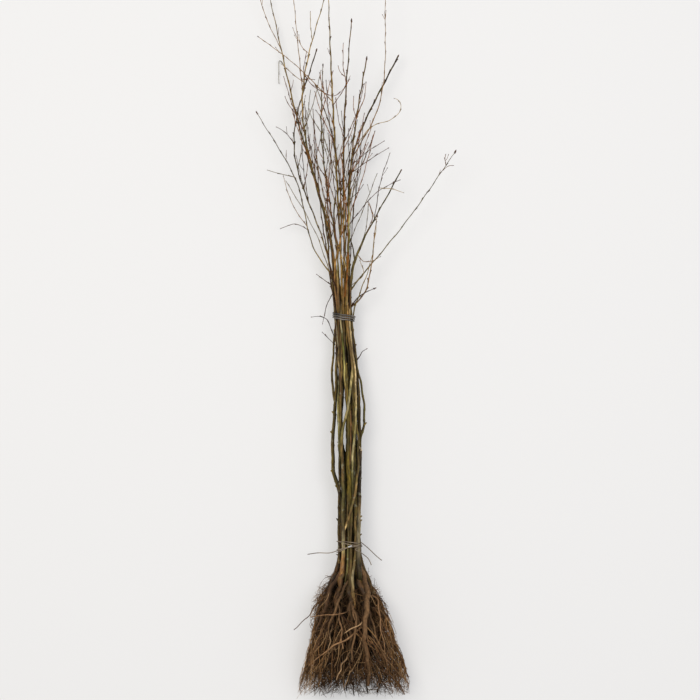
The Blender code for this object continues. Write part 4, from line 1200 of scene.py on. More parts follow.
# %% Stems
for number, whip in enumerate(WHIPS):
    rng = default_rng(STEM_SEED + number)
    stem = Surfaces()
    limb = pieces["stem_" + whip][0]
    dressed = add_limb(stem, rng, slimmed(limb, 1.0, least_radii(whip, limb)), STEM_LOOK, 0)
    stem.add(rings(*stubs(rng, dressed, STUBS_PER_STEM), 7), 0)
    make_piece("stem_bark_" + whip, stem, [BARK[whip]], ["stem_" + whip])

# %% [markdown]
# ## Boughs
#
# In the frame a tied-in bough ends beside its stem. On the plant it grows out of the stem at a narrow angle, so
# its first points are taken away, and its line starts inside the stem, further down.

# %% Boughs
LEAD_IN = 55.0  # how much further down a bough's line starts
LEAD_SKIP = 2  # points of its line that are passed over
LEAD_DEPTH = 3.0  # of its start under the bark
AXIS_BACK = 14.0  # how much further down a long bough leaves its stem's middle line


def led_in(limb, stem):
    """A bough whose line starts under its stem's bark and comes out at a narrow angle."""
    rest = limb.points[LEAD_SKIP:]
    place, radius, _ = stem.at(rest[0, 1] - LEAD_IN)
    out = rest[0] - stem.at(rest[0, 1])[0]
    start = place + unit(out) * (radius - LEAD_DEPTH)
    thick = limb.radii[LEAD_SKIP:]
    return Limb(np.vstack([start, rest]), np.append(thick[0] * 1.2, thick))


def from_middle(limb, stem):
    """A bough whose line starts on its stem's middle line, as the dressed stem is slimmer."""
    start = stem.at(limb.points[0, 1] - AXIS_BACK)[0]
    return Limb(np.vstack([start, limb.points[1:]]), limb.radii)


BOUGH_BARK = {"left": "01", "right": "09", "low_right": "low_right", "low_left": "01", "low_front": "low_front",
              "low_middle": "low_middle", "low_back": "08"}
tied_in = []
for number, (bough, tints) in enumerate(BOUGH_BARK.items()):
    rng = default_rng(STEM_SEED + 50 + number)
    piece = "bough_" + bough
    if piece in LOW_BOUGHS:
        limb = led_in(pieces[piece][0], pieces["stem_" + LOW_BOUGHS[piece].whip][0])
        tied_in.append(limb)
    else:
        limb = from_middle(pieces[piece][0], pieces["stem_" + SIDE_BOUGHS[bough][0]][0])
    surfaces = Surfaces()
    add_limb(surfaces, rng, slimmed(limb), BOUGH_LOOK, 0)
    make_piece("bough_bark_" + bough, surfaces, [BARK[tints]], [piece])

# %% [markdown]
# ## Strands in front
#
# Between the wires lie narrow side shoots that were pressed against the stems, cross them and are tied in too.
# Their places across come from their pixels in the photograph. Their height is that of the bark below them,
# worked out at each step, so that they lie on it.

# %% Strands in front, by their pixels
# A shoot along the front of the stems: its diameter, its pixels from foot to tip, the stops of its bark, as
# pixels down the photograph and tones, and the numbers of the strands that it crosses
Strand = namedtuple("Strand", "thick pixels stops over", defaults=((),))
# Tones of the strands' bark
RUST, TAN, STRAW, PALE_OLIVE = "8c643a", "aa9060", "a89a70", "9c9058"
OLIVE, MOSS, EARTH, GREY, DARK = "6a6236", "5e5e26", "604c2a", "786c52", "403219"
BROWN, RED_BROWN, SAND, PAINTED_SHADOW_BLACK = "8a6838", "5c3620", "dcc08a", "281c0e"
LIGHT_STRAW, DULL_BROWN, LIGHT_BROWN = "c0ac72", "806840", "a88450"
STRANDS = [Strand(*row) for row in (
    (10.5, (341.6, 575, 342.4, 568, 342.8, 560, 343.3, 550, 343.4, 540, 343.2, 528, 342.8, 512, 343.2, 495,
     343.1, 478, 342.4, 462, 341.8, 446, 342, 434, 343.2, 426, 345.3, 419.5, 347.2, 411, 348.6, 401,
     350.2, 391, 351.4, 379, 352.1, 366, 351, 352, 348.8, 338, 347.5, 322, 347.3, 300), (570, RUST, 557, RUST,
     549, LIGHT_STRAW, 540, STRAW, 526, EARTH, 490, OLIVE, 478, EARTH, 462, DARK, 447, EARTH, 430, OLIVE,
     416, LIGHT_STRAW, 402, STRAW, 390, OLIVE, 379, LIGHT_STRAW, 366, EARTH, 352, EARTH, 300, BROWN)),
    (7.0, (342, 602, 345, 585, 346.6, 573, 347.6, 560, 348, 548, 348.4, 535, 348.2, 525, 347.4, 514,
     347.6, 500, 347, 487), (602, EARTH, 560, OLIVE, 520, EARTH, 487, DARK)),
    (8.0, (350.2, 582, 350.8, 565, 350.8, 548, 351, 530, 351.6, 515, 352.4, 500, 352.7, 485, 352.5, 470,
     352.5, 455, 353.9, 444, 354.7, 434, 355.6, 424, 356, 412, 355.8, 398, 355.6, 385, 355.2, 373, 354, 362,
     352.2, 351, 350.8, 338, 349.8, 325, 349.5, 310, 350, 296), (580, EARTH, 560, DARK, 530, DARK, 500, DARK,
     472, OLIVE, 452, STRAW, 434, PALE_OLIVE, 412, LIGHT_STRAW, 398, SAND, 383, SAND, 360, SAND, 350, TAN,
     338, SAND, 322, SAND, 300, BROWN)),
    (6.0, (346.5, 402, 345.8, 392, 344.9, 382, 344.3, 370, 344, 357, 343, 346, 342.3, 337, 341.2, 327,
     340.9, 315, 342, 300), (402, EARTH, 390, EARTH, 370, PALE_OLIVE, 350, MOSS, 338, MOSS, 327, STRAW,
     310, EARTH)),
    (6.5, (349.6, 470, 350.2, 455, 350.8, 443, 350.8, 430, 350.6, 418, 350.9, 408, 351.8, 398), (470, DARK,
     440, RUST, 420, RUST, 400, EARTH)),
    (11.0, (354.8, 612, 353.8, 600, 352.8, 590, 352.4, 580, 352.9, 571, 354.5, 562, 355.4, 552, 355.6, 540,
     355.2, 525, 354.9, 512), (612, RUST, 592, DULL_BROWN, 576, GREY, 560, EARTH, 548, DARK, 512, EARTH)),
    (3.6, (360.8, 453, 361, 438, 360.6, 428, 360.3, 418, 360, 406, 359, 394, 357.8, 382), (450, EARTH,
     382, EARTH)),
    (8.0, (339, 566, 339, 550, 338.8, 530, 338.9, 510, 339.4, 492, 339.6, 478, 339.4, 462, 339.2, 446,
     338.9, 432, 338.3, 418, 338, 404, 338.6, 388, 339.2, 372), (560, EARTH, 505, DARK, 470, DARK, 440, OLIVE,
     410, PALE_OLIVE, 385, OLIVE, 372, EARTH)),
    (6.5, (340.6, 404, 340.6, 388, 340.5, 379, 340.1, 371, 338.6, 364, 338.1, 356, 338.8, 348, 338.2, 343,
     337.4, 338, 336.6, 330, 335.8, 322, 335.4, 310), (400, EARTH, 379, RED_BROWN, 364, TAN, 350, EARTH,
     342, GREY, 325, GREY, 312, EARTH)),
    (4.5, (336.6, 376, 336.3, 360, 336.4, 352, 336.2, 348.6, 335.6, 342.5, 334.6, 336.4,
     333.8, 328), (372, EARTH, 350, STRAW, 340, STRAW, 330, OLIVE)),
    (6.2, (337.4, 311, 336.2, 299, 335, 288, 334.4, 280, 334.8, 271, 335.8, 261, 337.2, 252, 337.4, 244,
     335.8, 236, 334.6, 226, 333.8, 216, 334.6, 206, 335.2, 196), (311, EARTH, 298, RUST, 285, RUST,
     262, BROWN, 230, RED_BROWN, 210, EARTH)),
    (5.8, (339.4, 311, 338.3, 297, 337.8, 283, 337.6, 275, 338, 268, 337.4, 259, 338.6, 250, 340.2, 241,
     341.2, 232, 341.8, 222, 341.8, 212, 341, 203, 340.6, 194), (311, BROWN, 298, RUST, 285, LIGHT_BROWN,
     270, OLIVE, 250, BROWN, 236, RUST, 210, BROWN)),
    (5.4, (343.4, 308, 343.8, 296, 344, 284, 344.2, 272, 343.8, 262, 344.4, 252, 344.8, 243, 343.8, 234,
     343.2, 226, 344.2, 218, 344, 208, 344.5, 198, 345, 190), (308, BROWN, 285, BROWN, 262, EARTH,
     245, RED_BROWN, 228, TAN, 208, RUST)),
    (4.6, (347, 308, 346.8, 296, 346.6, 285, 347.4, 275, 346.4, 262, 345.6, 252, 346, 242, 346, 230,
     345.6, 218, 345.6, 206, 346.4, 195), (308, STRAW, 298, LIGHT_BROWN, 285, BROWN, 272, EARTH, 250, DARK,
     215, DARK)),
    (4.0, (350, 281, 348.5, 275.5, 346.6, 269, 344, 261, 341.5, 256, 339.3, 250.5, 338, 243), (281, EARTH,
     270, TAN, 256, TAN, 243, EARTH)),
    (5.4, (350.6, 308, 350.6, 298, 350.4, 288, 349.4, 276, 348.4, 266, 348.2, 256, 348.6, 246, 349.4, 238,
     348.8, 228, 349.2, 218, 349.2, 208, 350, 198, 351.5, 188), (308, RUST, 298, LIGHT_BROWN, 280, BROWN,
     262, OLIVE, 240, OLIVE, 222, PALE_OLIVE, 205, EARTH)),
    (4.4, (355, 262, 353.8, 254, 351.8, 244, 349.9, 238, 349.2, 230), (262, EARTH, 250, DARK, 230, EARTH)),
    (5.4, (334.8, 311, 333.8, 302, 332.8, 291, 331.9, 280, 330.5, 271, 329, 262, 328, 254, 328.2, 245,
     327.2, 237, 325.9, 229, 324.8, 220), (311, GREY, 295, EARTH, 270, EARTH, 258, PALE_OLIVE, 244, PALE_OLIVE,
     230, EARTH)),
    (3.8, (336.4, 292, 334.4, 280, 332.8, 268, 331.6, 256, 331.8, 246, 330.6, 236, 329.1, 226,
     327.8, 216), (292, EARTH, 216, DARK)),
    (7.0, (343.2, 533.5, 343.9, 531, 345.2, 527.5, 346.6, 524.5, 348.2, 520.5, 349.8, 516.5,
     351, 513), (534, TAN, 513, TAN), (0,)),
)]
STRAND_STEP = 8.0
STRAND_SINK = 0.25  # of its radius, that a strand lies under the bark's line
STRAND_TAPER = 0.35
in_bundle = [limbs[0] for name, limbs in pieces.items() if name.startswith("bough_low")]
for whip in WHIPS:
    root, stem = pieces["roots_" + whip][0], pieces["stem_" + whip][0]
    in_bundle.append(Limb(np.vstack([root.points[::-1], stem.points]), np.append(root.radii[::-1], stem.radii)))


def sections(limbs, along):
    """Across, up and radius of every strand that passes a place along the bundle."""
    found = []
    for limb in limbs:
        if limb.points[0, 1] < along < limb.points[-1, 1]:
            place, radius, heading = limb.at(along)
            found.append((place[0], place[2], radius / heading[1]))
    return np.array(found)


FRONT_SHOOT = pieces["bough_low_front"][0]
beneath = [limb for limb in in_bundle if limb is not FRONT_SHOOT]
IN_FRONT_TO = 430.0  # along, up to which the shoot in front passes over the strands
with_leaders = in_bundle + [slimmed(pieces["crown_" + whip][0]) for whip in WHIPS]
IN_CROWN_FROM = 850.0  # along, from where the strands lie on the leaders too
IN_OPEN = 0.55  # the share to which strands in front lie in the open, and are kept out of the painted shade
BELL = np.hanning(9) / np.hanning(9).sum()


def bark_top(limbs, across, along):
    """The height of the bark at a place: the highest of the limbs' round backs there, each of which goes down
    three in one beside its limb."""
    strands = sections(limbs, along)
    aside = np.abs(strands[:, 0] - across)
    back = np.sqrt(np.clip(strands[:, 2] ** 2 - aside**2, 0, None))
    return (strands[:, 1] + back - 3 * np.clip(aside - strands[:, 2], 0, None)).max()


def eased(values):
    """Values along a line, smoothed by a bell that is nine of them wide."""
    return np.convolve(np.pad(values, 4, "edge"), BELL, "valid")


def laid_limb(thick, pixels, buried=(1.0, 1.0), crossed=()):
    """A limb that lies on the bark through some pixels, and on limbs that it crosses, and goes under the bark
    at its ends, as far as asked."""
    places = places_at(pixels)
    along = np.arange(places[0, 1], places[-1, 1], STRAND_STEP)
    across = smooth(places[:, 1], places[:, 0], along)
    up = []
    for x, y in zip(across, along):
        limbs = beneath if y < IN_FRONT_TO else in_bundle if y < IN_CROWN_FROM else with_leaders
        up.append(bark_top([*limbs, *crossed], x, y))
    up = eased(up) + thick / 2 * (1 - STRAND_SINK)
    for end, depth in zip((along[0], along[-1]), buried):
        up = up - depth * (thick + 2) * np.exp(-np.abs(along - end) / 18)
    return Limb(np.column_stack([across, along, up]), thick / 2 * np.linspace(1, 1 - STRAND_TAPER, len(along)))


def pixel_stops(stops):
    """Stops given by pixels down the photograph and tints in turn, as places along Y and tints."""
    return [((at_pixel(0, y)[1] + COLLAR_Y) / METRE, tint) for y, tint in zip(stops[::2], stops[1::2])]


rng = default_rng(STEM_SEED + 70)
surfaces = Surfaces()
finishes, laid = [], []
for number, strand in enumerate(STRANDS):
    limb = laid_limb(strand.thick, strand.pixels, crossed=[laid[below] for below in strand.over])
    laid.append(limb)
    add_limb(surfaces, rng, limb, BOUGH_LOOK._replace(wander=0.6), number, 0.0, IN_OPEN)
    shift = (0.41 * number, 0.17 * number, 0.53 * number)
    finishes.append(bark_material(f"strand_bark_{number}", pixel_stops(strand.stops), shift, 0.2))
make_piece("laid_strands", surfaces, finishes)

# %% [markdown]
# ## Warts and a broken stem
#
# One strand carries a row of pale warts, where its cork has burst, and a thicker stem in front ends in a break
# of pale wood. Both could be sculpted. Here a wart is a tube with the profile of a ball, and the break is the
# stem's last rings, pulled back on one side and jagged by a seeded draw, so that bark and wood meet.

# %% Pale warts on one strand
BEADED = 2  # the strand that has them
BEADS = np.linspace(387, 357, 11)  # their pixels down the photograph
BEAD_RADIUS = 1.7
along = at_pixel(0, BEADS)[1] + rng.uniform(-4, 4, len(BEADS))
strand = laid[BEADED]
middle = np.column_stack(between(along, strand.points[:, 1], strand.points))
thick = np.interp(along, strand.points[:, 1], strand.radii)
middle += np.column_stack([rng.uniform(-0.35, 0.35, len(along)) * thick, np.zeros(len(along)), 0.8 * thick])
lines = middle[:, None] + np.linspace(-1, 1, 5)[:, None] * (0.0, BEAD_RADIUS * 1.2, 0.0)
sizes = BEAD_RADIUS * rng.uniform(0.6, 1.15, (len(along), 1))
surfaces = Surfaces()
surfaces.add(rings(lines, sizes * (0.3, 0.85, 1.0, 0.85, 0.3), 8), rng.integers(0, 2, len(along)))
make_piece("bark_warts", surfaces, [CUT_WOOD, STRAW_BARK[0]])

# %% The broken stem
BROKEN_PIXELS = (
    359.6, 580, 358.8, 565, 358, 548, 358.2, 530, 358.6, 515, 358.9, 500, 359.2, 485, 359.6, 470, 360, 458,
    360.3, 448,
)
# The blackish stops, from pixel 494 to 465, are painted shade: the shadow on the broken stem's right flank,
# laid round its whole bark.
BROKEN_STOPS = (
    580, DARK, 562, DARK, 550, GREY, 520, GREY, 508, EARTH, 494, PAINTED_SHADOW_BLACK, 465, PAINTED_SHADOW_BLACK, 448, EARTH,
)
BROKEN_THICK = 17.0
BREAK_SLANT = (1.0, 0.9)  # how far the break runs down for each mm to the right and up
BREAK_LENGTH = 22.0
SPLINTER = 1.3
BREAK_RINGS = ((1.0, 0.2), (0.8, 1.0), (0.4, 0.5), (0.1, 1.2))  # shares of the radius, and rises, of its face
limb = laid_limb(BROKEN_THICK, BROKEN_PIXELS, (1.0, 0.0))
look = BOUGH_LOOK._replace(wander=0.4, sides=20)
dressed = dress(rng, limb, look)
grid = rings(dressed.line[None], relief(rng, dressed, look)[None], look.sides)
near_end = np.clip(1 - (dressed.way[-1] - dressed.way) / BREAK_LENGTH, 0, 1)[:, None]
off = grid[0] - dressed.line[:, None]
slant = BREAK_SLANT[0] * off[..., 0] + BREAK_SLANT[1] * off[..., 2]
grid[0, ..., 1] -= near_end * (slant + rng.uniform(-SPLINTER, SPLINTER, look.sides))
face_middle = grid[:, -1].mean(axis=1, keepdims=True)
face = [face_middle + (grid[:, -1] - face_middle) * share + (0, rise, 0) for share, rise in BREAK_RINGS]
surfaces = Surfaces()
# painted shade by the bark's depth in the bundle, as on the stems
surfaces.add(grid, 0, painted_light_on(grid, dressed.line[None, :, None]))
surfaces.add(np.stack(face, axis=1), 1)
broken_bark = bark_material("broken_stem_bark", pixel_stops(BROKEN_STOPS), (0.7, 0.2, 0.9), 0.15)
make_piece("broken_stem", surfaces, [broken_bark, CUT_WOOD])
in_bundle += [*laid, limb]

# %% [markdown]
# ## Buds
#
# Buds of an oak are blunt, egg-shaped and brown, single at the nodes and clustered at the tip of a strong
# shoot. There are thousands, so each is a tube of four rings and six sides, and all are one array.

# %% Buds
BUD_RINGS = np.array((0.0, 0.35, 0.75, 1.0))
BUD_PROFILE = np.array((0.62, 1.0, 0.68, 0.1))
SIDE_BUD = (7.6, 4.8)  # length and width
TIP_BUD = (9.0, 5.0)
STRONG_TIP = 1.7  # the radius of a shoot that has a full cluster
BUD_LEAN = math.radians(28)
BUD_SIDES = 6


class BudList:
    """The feet, directions, lengths and widths of all buds."""

    def __init__(self):
        self.rows = []

    def add(self, feet, directions, size, kind):
        """Adds buds, sized as shares of a kind's length and width."""
        size = np.broadcast_to(size, len(feet))
        self.rows.append(np.column_stack([feet, directions, size * kind[0], size * kind[1]]))

    def at_nodes(self, rng, dressed):
        """A bud at each node of a dressed limb, on the bark and leaning out."""
        if len(dressed.nodes) == 0:
            return
        heading = unit(np.gradient(dressed.line, axis=0))
        k = np.searchsorted(dressed.way, dressed.nodes).clip(1, len(dressed.way) - 2)
        axis = np.eye(3)[np.abs(heading.mean(axis=0)).argmin()]
        out = around(heading[k], axis, dressed.angles[:, None])
        feet = dressed.line[k] + out * (0.75 * dressed.radii[k])[:, None]
        points = heading[k] * math.cos(BUD_LEAN) + out * math.sin(BUD_LEAN)
        size = rng.uniform(0.75, 1.1, len(k)) * np.clip(dressed.radii[k] / 2.0, 0.62, 1.0)
        self.add(feet, points, size, SIDE_BUD)

    def at_tip(self, rng, dressed, strength):
        """A bud straight on at a tip, and on a strong shoot others close round it, a little below."""
        heading = unit(dressed.line[-1] - dressed.line[-3])
        size = np.clip(strength / STRONG_TIP, 0.5, 1.0) * rng.uniform(0.85, 1.1)
        self.add(dressed.line[-1:] - heading, heading[None], size, TIP_BUD)
        if strength < 0.75 * STRONG_TIP:
            return
        count = int(rng.integers(2, 5))
        turn = rng.uniform(0, TURN) + TURN * np.arange(count) / count
        out = around(heading, (0.3, 0.2, 1.0), turn[:, None])
        below = rng.uniform(1.0, 7.0, count)[:, None]
        feet = dressed.line[-1] + 1.1 * out - heading * below
        self.add(feet, unit(heading + 0.3 * out), size * rng.uniform(0.55, 0.8, count), TIP_BUD)

    def grid(self):
        """The rings of all buds: middle = foot + direction times the way, radius = half width times the profile
        of a blunt egg."""
        feet, directions, length, width = np.split(np.concatenate(self.rows), (3, 6, 7), axis=1)
        lines = feet[:, None] + directions[:, None] * (length * BUD_RINGS)[..., None]
        return rings(lines, width / 2 * BUD_PROFILE, BUD_SIDES)


print("side buds of", SIDE_BUD, "mm, tip buds of", TIP_BUD, "mm")

# %% [markdown]
# ## Crowns
#
# A crown's leader, shoots and twigs are the source's limbs. The solids keep them thick enough to be solid, and
# here they are slimmed to what the photograph shows, the more so the nearer to their tips. Some finer twigs
# grow on from them, few enough to leave the sky open between.

# %% Finer twigs
FINE_SEED = 400
TWIG_SLIM = 0.9  # of a seeded twig, besides
KEPT_AT = (1050.0, 1220.0, 1400.0, 1600.0)  # along, where a seeded twig leaves its limb
KEPT_TWIGS = (0.22, 0.45, 0.27, 0.13)  # the share of them that are kept there
HIGHEST = 255.0  # up, above which a seeded twig is kept, because it gives the plant its height
FINE_GAP = 290.0  # of limb for each finer twig that is tried
FINE_WAYS = (0.35, 0.92)  # the shares of a limb's length between which they leave
FINE_LENGTH = (14.0, 48.0)
FINE_SPREAD = (24.0, 46.0)
FINE_RADIUS = 0.8
FINE_TIP = 0.6
BUD_ROOM = 6.0
BOX_MARGIN = 0.01  # metres


def in_box(points):
    """Whether every point keeps well within the solids' box."""
    places = (points + (0.0, COLLAR_Y, 0.0)) / METRE
    return bool(((places > np.array(cad_low) + BOX_MARGIN) & (places < np.array(cad_high) - BOX_MARGIN)).all())


def finer_twigs(rng, limb):
    """Finer twigs from the outer part of a limb, a share of a turn further round each."""
    found = []
    for k in range(int(way_along(limb.points)[-1] / FINE_GAP + rng.random())):
        way = rng.uniform(*FINE_WAYS)
        reach = rng.uniform(*FINE_LENGTH) * (1.2 - 0.6 * way)
        spread = math.radians(rng.uniform(*FINE_SPREAD))
        turn = TURN * PHYLLOTAXY * k + rng.uniform(0, TURN)
        twig = side_limb(rng, limb, way, turn, reach, spread, UPRIGHT, FINE_RADIUS, FINE_TIP)
        if in_box(twig.points):
            found.append(twig)
    return found


FINE_LOOK = TWIG_LOOK._replace(sides=5, wander=0.3)
print("a finer twig every", FINE_GAP, "mm")

# %% Crowns
STRAW_FROM = 1560.0  # along, past which a shoot that ends there may be straw coloured
STRAW_PAST = 1780.0  # along, past which it is
TONES = len(TWIG_BARK)
buds = BudList()


def add_finer(surfaces, rng, limb, tone, budded=False):
    """A limb's finer twigs, with a bud at each tip or without."""
    for fine in finer_twigs(rng, limb):
        dressed = add_limb(surfaces, rng, fine, FINE_LOOK, tone)
        if budded:
            buds.at_tip(rng, dressed, FINE_RADIUS)


def add_budded(surfaces, rng, limb, look, tone, strength, short=BUD_ROOM):
    """A limb with buds at its nodes and its tip."""
    dressed = add_limb(surfaces, rng, limb, look, tone, short)
    buds.at_nodes(rng, dressed)
    buds.at_tip(rng, dressed, strength)


def add_twig(surfaces, rng, limb, tone):
    """A shoot or twig with its buds and its finer twigs."""
    add_budded(surfaces, rng, limb, TWIG_LOOK, tone, limb.radii[0] * 0.8)
    add_finer(surfaces, rng, limb, tone, True)


def twig_tone(rng, limb, first):
    """A twig's tone: one of the browns, or straw high up, as numbers that count from the first."""
    if limb.points[-1, 1] > STRAW_FROM and rng.random() < 0.5 or limb.points[-1, 1] > STRAW_PAST:
        return first + TONES + int(rng.integers(0, len(STRAW_BARK)))
    return first + int(rng.integers(0, TONES))


CROWN_BARK = {**{whip: whip for whip in WHIPS}, "left": "01", "right": "09"}
LEAN = {"09": -13.0}  # how far a crown leans across, in the air, so that it runs as in the photograph
LEAN_AT = (1150.0, 1400.0)  # along, from where it starts to lean to where it leans in full


def leaning(limb, crown):
    """A crown's limb, moved across by its lean."""
    share = np.interp(limb.points[:, 1], LEAN_AT, (0, 1))
    return Limb(limb.points + np.outer(share * LEAN.get(crown, 0), (1, 0, 0)), limb.radii)


for number, (crown, whip) in enumerate(CROWN_BARK.items()):
    rng = default_rng(FINE_SEED + number)
    surfaces = Surfaces()
    leader, *others = (leaning(limb, crown) for limb in pieces["crown_" + crown])
    leader = slimmed(leader, 1.0, least_radii(crown, leader))
    add_budded(surfaces, rng, leader, LEADER_LOOK, 0, STRONG_TIP)
    add_finer(surfaces, rng, leader, 1)
    named = len(SHOOTS[crown])
    for order, limb in enumerate(others):
        if order < named:
            add_twig(surfaces, rng, slimmed(limb), twig_tone(rng, limb, 1))
            continue
        kept = rng.random() < np.interp(limb.points[0, 1], KEPT_AT, KEPT_TWIGS)
        if kept or limb.points[:, 2].max() > HIGHEST:
            add_twig(surfaces, rng, slimmed(limb, TWIG_SLIM), twig_tone(rng, limb, 1))
    finishes = [BARK[whip], *TWIG_BARK, *STRAW_BARK]
    make_piece("crown_twigs_" + crown, surfaces, finishes, ["crown_" + crown])

# %% [markdown]
# ## Twigs tied in with the stems
#
# Many low side twigs were bent up and tied in too. They lie in the grooves between the stems and spread in the
# crown above. A groove is where a ray from the section's middle meets the outermost bark, and its line is
# smoothed along, so a twig never jumps from one stem to the next.

# %% Tied-in twigs
GROOVE_SEED = 600
GROOVE_TWIGS = 7
GROOVE_STEP = 12.0
IN_FRONT = 0.4  # the sine of the angle past which a twig is in front
GROOVE_SINK = 0.2  # of its radius, that a twig lies under the bark's line
TIE_DIP = 3.0  # how much deeper it is pressed under the upper wire
STARTS_IN_FRONT, STARTS_BEHIND = (805, 870), (540, 800)  # along, between which it starts
GROOVE_END = 915.0  # along, where it leaves the groove
TIED_ENDS = (1110, 1430)  # along, between which its tip lies
TIED_SPREAD = (0.3, 0.75)  # of the way from the crown's middle to its edge, to its tip
TIED_RADIUS = (2.0, 3.0)
TIED_TIP = 0.8
TIED_POINTS = 44
CROWN_UP, CROWN_DOWN = 88, 70  # the height of the crown's middle, and how far it reaches down from there
LOWEST_TIP = 8.0


def bark_distance(strands, middle, way):
    """How far from the middle a ray leaves the bark: along the way to a strand's middle, plus the half chord
    there, at the most."""
    off = strands[:, :2] - middle
    along_ray = off @ way
    aside = np.abs(off @ (way[1], -way[0]))
    half_chord = np.sqrt(np.clip(strands[:, 2] ** 2 - aside**2, 0, None))
    reach = np.where(aside < strands[:, 2], along_ray + half_chord, 0)
    return reach.max()


def groove_line(angle, drift, start, end, radius):
    """A line along the bark at an angle that drifts, from under the bark at its start."""
    levels = np.arange(start, end, GROOVE_STEP)
    places = []
    for level, turn in zip(levels, np.linspace(0, drift, len(levels))):
        way = np.array([math.cos(angle + turn), math.sin(angle + turn)])
        middle = section_at(level)[:2]
        distance = bark_distance(sections(in_bundle, level), middle, way)
        distance += radius * (1 - GROOVE_SINK) - TIE_DIP * math.exp(-(((level - UPPER_TIE_ALONG) / 30) ** 2))
        distance -= (2 * radius + 2) * math.exp(-(level - start) / 25)
        across, up = middle + way * distance
        places.append((across, level, up))
    return np.column_stack([eased(column) for column in np.transpose(places)])


def tied_in_twig(rng, angle):
    """A twig in a groove up to the crown's base, then to a tip in the crown. In front it starts above the upper
    wire, so that it leaves the strands in sight."""
    sine = math.sin(angle)
    start = rng.uniform(*(STARTS_IN_FRONT if sine > IN_FRONT else STARTS_BEHIND))
    radius = rng.uniform(*TIED_RADIUS)
    line = groove_line(angle, rng.uniform(-0.35, 0.35), start, GROOVE_END, radius)
    end = rng.uniform(*TIED_ENDS)
    left, right, top = read_off(CROWN_SPACE, end)
    share = rng.uniform(*TIED_SPREAD)
    across = (left + right) / 2 + share * (right - left) / 2 * math.cos(angle)
    up = CROWN_UP + share * (top - CROWN_UP if sine > 0 else CROWN_DOWN) * sine
    tip = np.array((across, end, max(up, LOWEST_TIP)))
    elbow = line[-1] + (line[-1] - line[-4]) * 3  # straight on, then drawn towards the tip
    elbow = 0.65 * elbow + 0.35 * (line[-1] + (tip - line[-1]) * 0.3)
    line = curve_through([*line[::3], elbow, tip], TIED_POINTS)
    share = np.linspace(0, 1, TIED_POINTS)
    radii = TIED_TIP + (radius - TIED_TIP) * (1 - share) ** BOUGH_TAPER
    return Limb(line, radii * np.interp(share, (0, 0.6, 1), (1, 0.85, 0.8)))


rng = default_rng(GROOVE_SEED)
surfaces = Surfaces()
for k in range(GROOVE_TWIGS):
    limb = tied_in_twig(rng, GOLDEN_ANGLE * k + 0.4)
    add_twig(surfaces, rng, limb, int(rng.integers(0, TONES)))
for limb in tied_in:
    add_finer(surfaces, rng, limb.split(CROWN_BASE)[1], 0)
make_piece("tied_in_twigs", surfaces, TWIG_BARK)

# %% [markdown]
# ## Twigs and roots that show by themselves
#
# A few thin twigs stand out against the pale ground, and some light roots cross the dark ones in front. They
# are placed by their pixels, and each starts in the limb that carries it, so it is joined to it from every
# side.

# %% Pieces by their pixels
# A thin limb: the piece that carries it, its diameter, its tone, its height, which is how far a twig's tip
# rises over its foot or how deep a root lies under the front, and its pixels from foot to tip
Placed = namedtuple("Placed", "carrier thick tone height pixels")
PLACED_TWIGS = [Placed(*row) for row in (
    ("stem_01", 2.6, 2, 20, (331, 287, 325, 280.5, 317, 274.7)),
    ("stem_01", 2.6, 2, 15, (331, 294, 326.5, 306, 324.4, 315, 322.6, 323.5)),
    ("stem_01", 2.8, 3, 24, (334, 345, 331.5, 330, 326.2, 319, 320, 316.5, 312, 317)),
    ("stem_01", 2.2, 2, 12, (333, 348, 329, 339, 322.6, 332.5)),
    ("stem_09", 4.6, 7, 60, (352, 309, 359, 300, 366, 290, 369.5, 275, 372.4, 259, 374, 238, 377, 216.5)),
    ("stem_09", 4.0, 3, 34, (351, 305, 358, 297.5, 364.5, 293, 374.7, 288.5)),
    ("stem_09", 2.0, 6, 30, (366, 289, 363.5, 274, 360, 261)),
    ("stem_09", 3.6, 3, 16, (357, 364, 359.5, 356.5, 362.5, 351.5, 366.5, 349)),
    ("crown_09", 2.2, 7, 22, (357, 258, 364, 261.5, 372, 261, 380, 257)),
    ("crown_09", 2.2, 6, 30, (380.8, 189, 391, 189.5, 403, 193.6)),
    ("crown_09", 2.2, 7, 16, (374.6, 218, 371, 209, 367.8, 202.8)),
    ("crown_08", 2.2, 6, 60, (355, 149, 362, 138, 367.4, 131, 376, 125, 389.7, 121, 399.3, 112.7, 400.8, 106.5,
     398, 101.5, 394.2, 100)),
    ("crown_05", 2.0, 0, 10, (302, 77, 310, 84.7, 322.8, 94.2, 334.9, 98, 343.8, 91, 349.5, 82)),
    ("crown_01", 3.4, 0, 10, (300, 82, 307, 79.5, 314, 80.2)),
    ("crown_left", 2.0, 7, 40, (306, 226, 295.8, 210.4, 288.2, 193.6, 283.6, 176.7)),
    ("stem_05", 5.0, 5, 10, (346.8, 512, 349, 509.5, 351.5, 504, 353.5, 496)),
)]
# Nubs at the edges of the stems: pixel of the bark's edge, and which side it faces
NUBS = (
    (331, 413, -1), (330, 433, -1), (338, 472, -1), (338.5, 487, -1), (365, 424, 1), (361, 517, 1),
    (361, 521, 1), (362, 535, 1), (336, 520, -1),
)
PLACED_TIP, PLACED_POINTS = 0.65, 26  # a placed twig's radius at its tip, and its points


def nearest_place(piece, across, along):
    """The point on a piece's limbs that is nearest in plan to a place."""
    points = np.concatenate([curve_through(limb.points, 60) for limb in pieces[piece]])
    return points[np.hypot(points[:, 0] - across, points[:, 1] - along).argmin()]


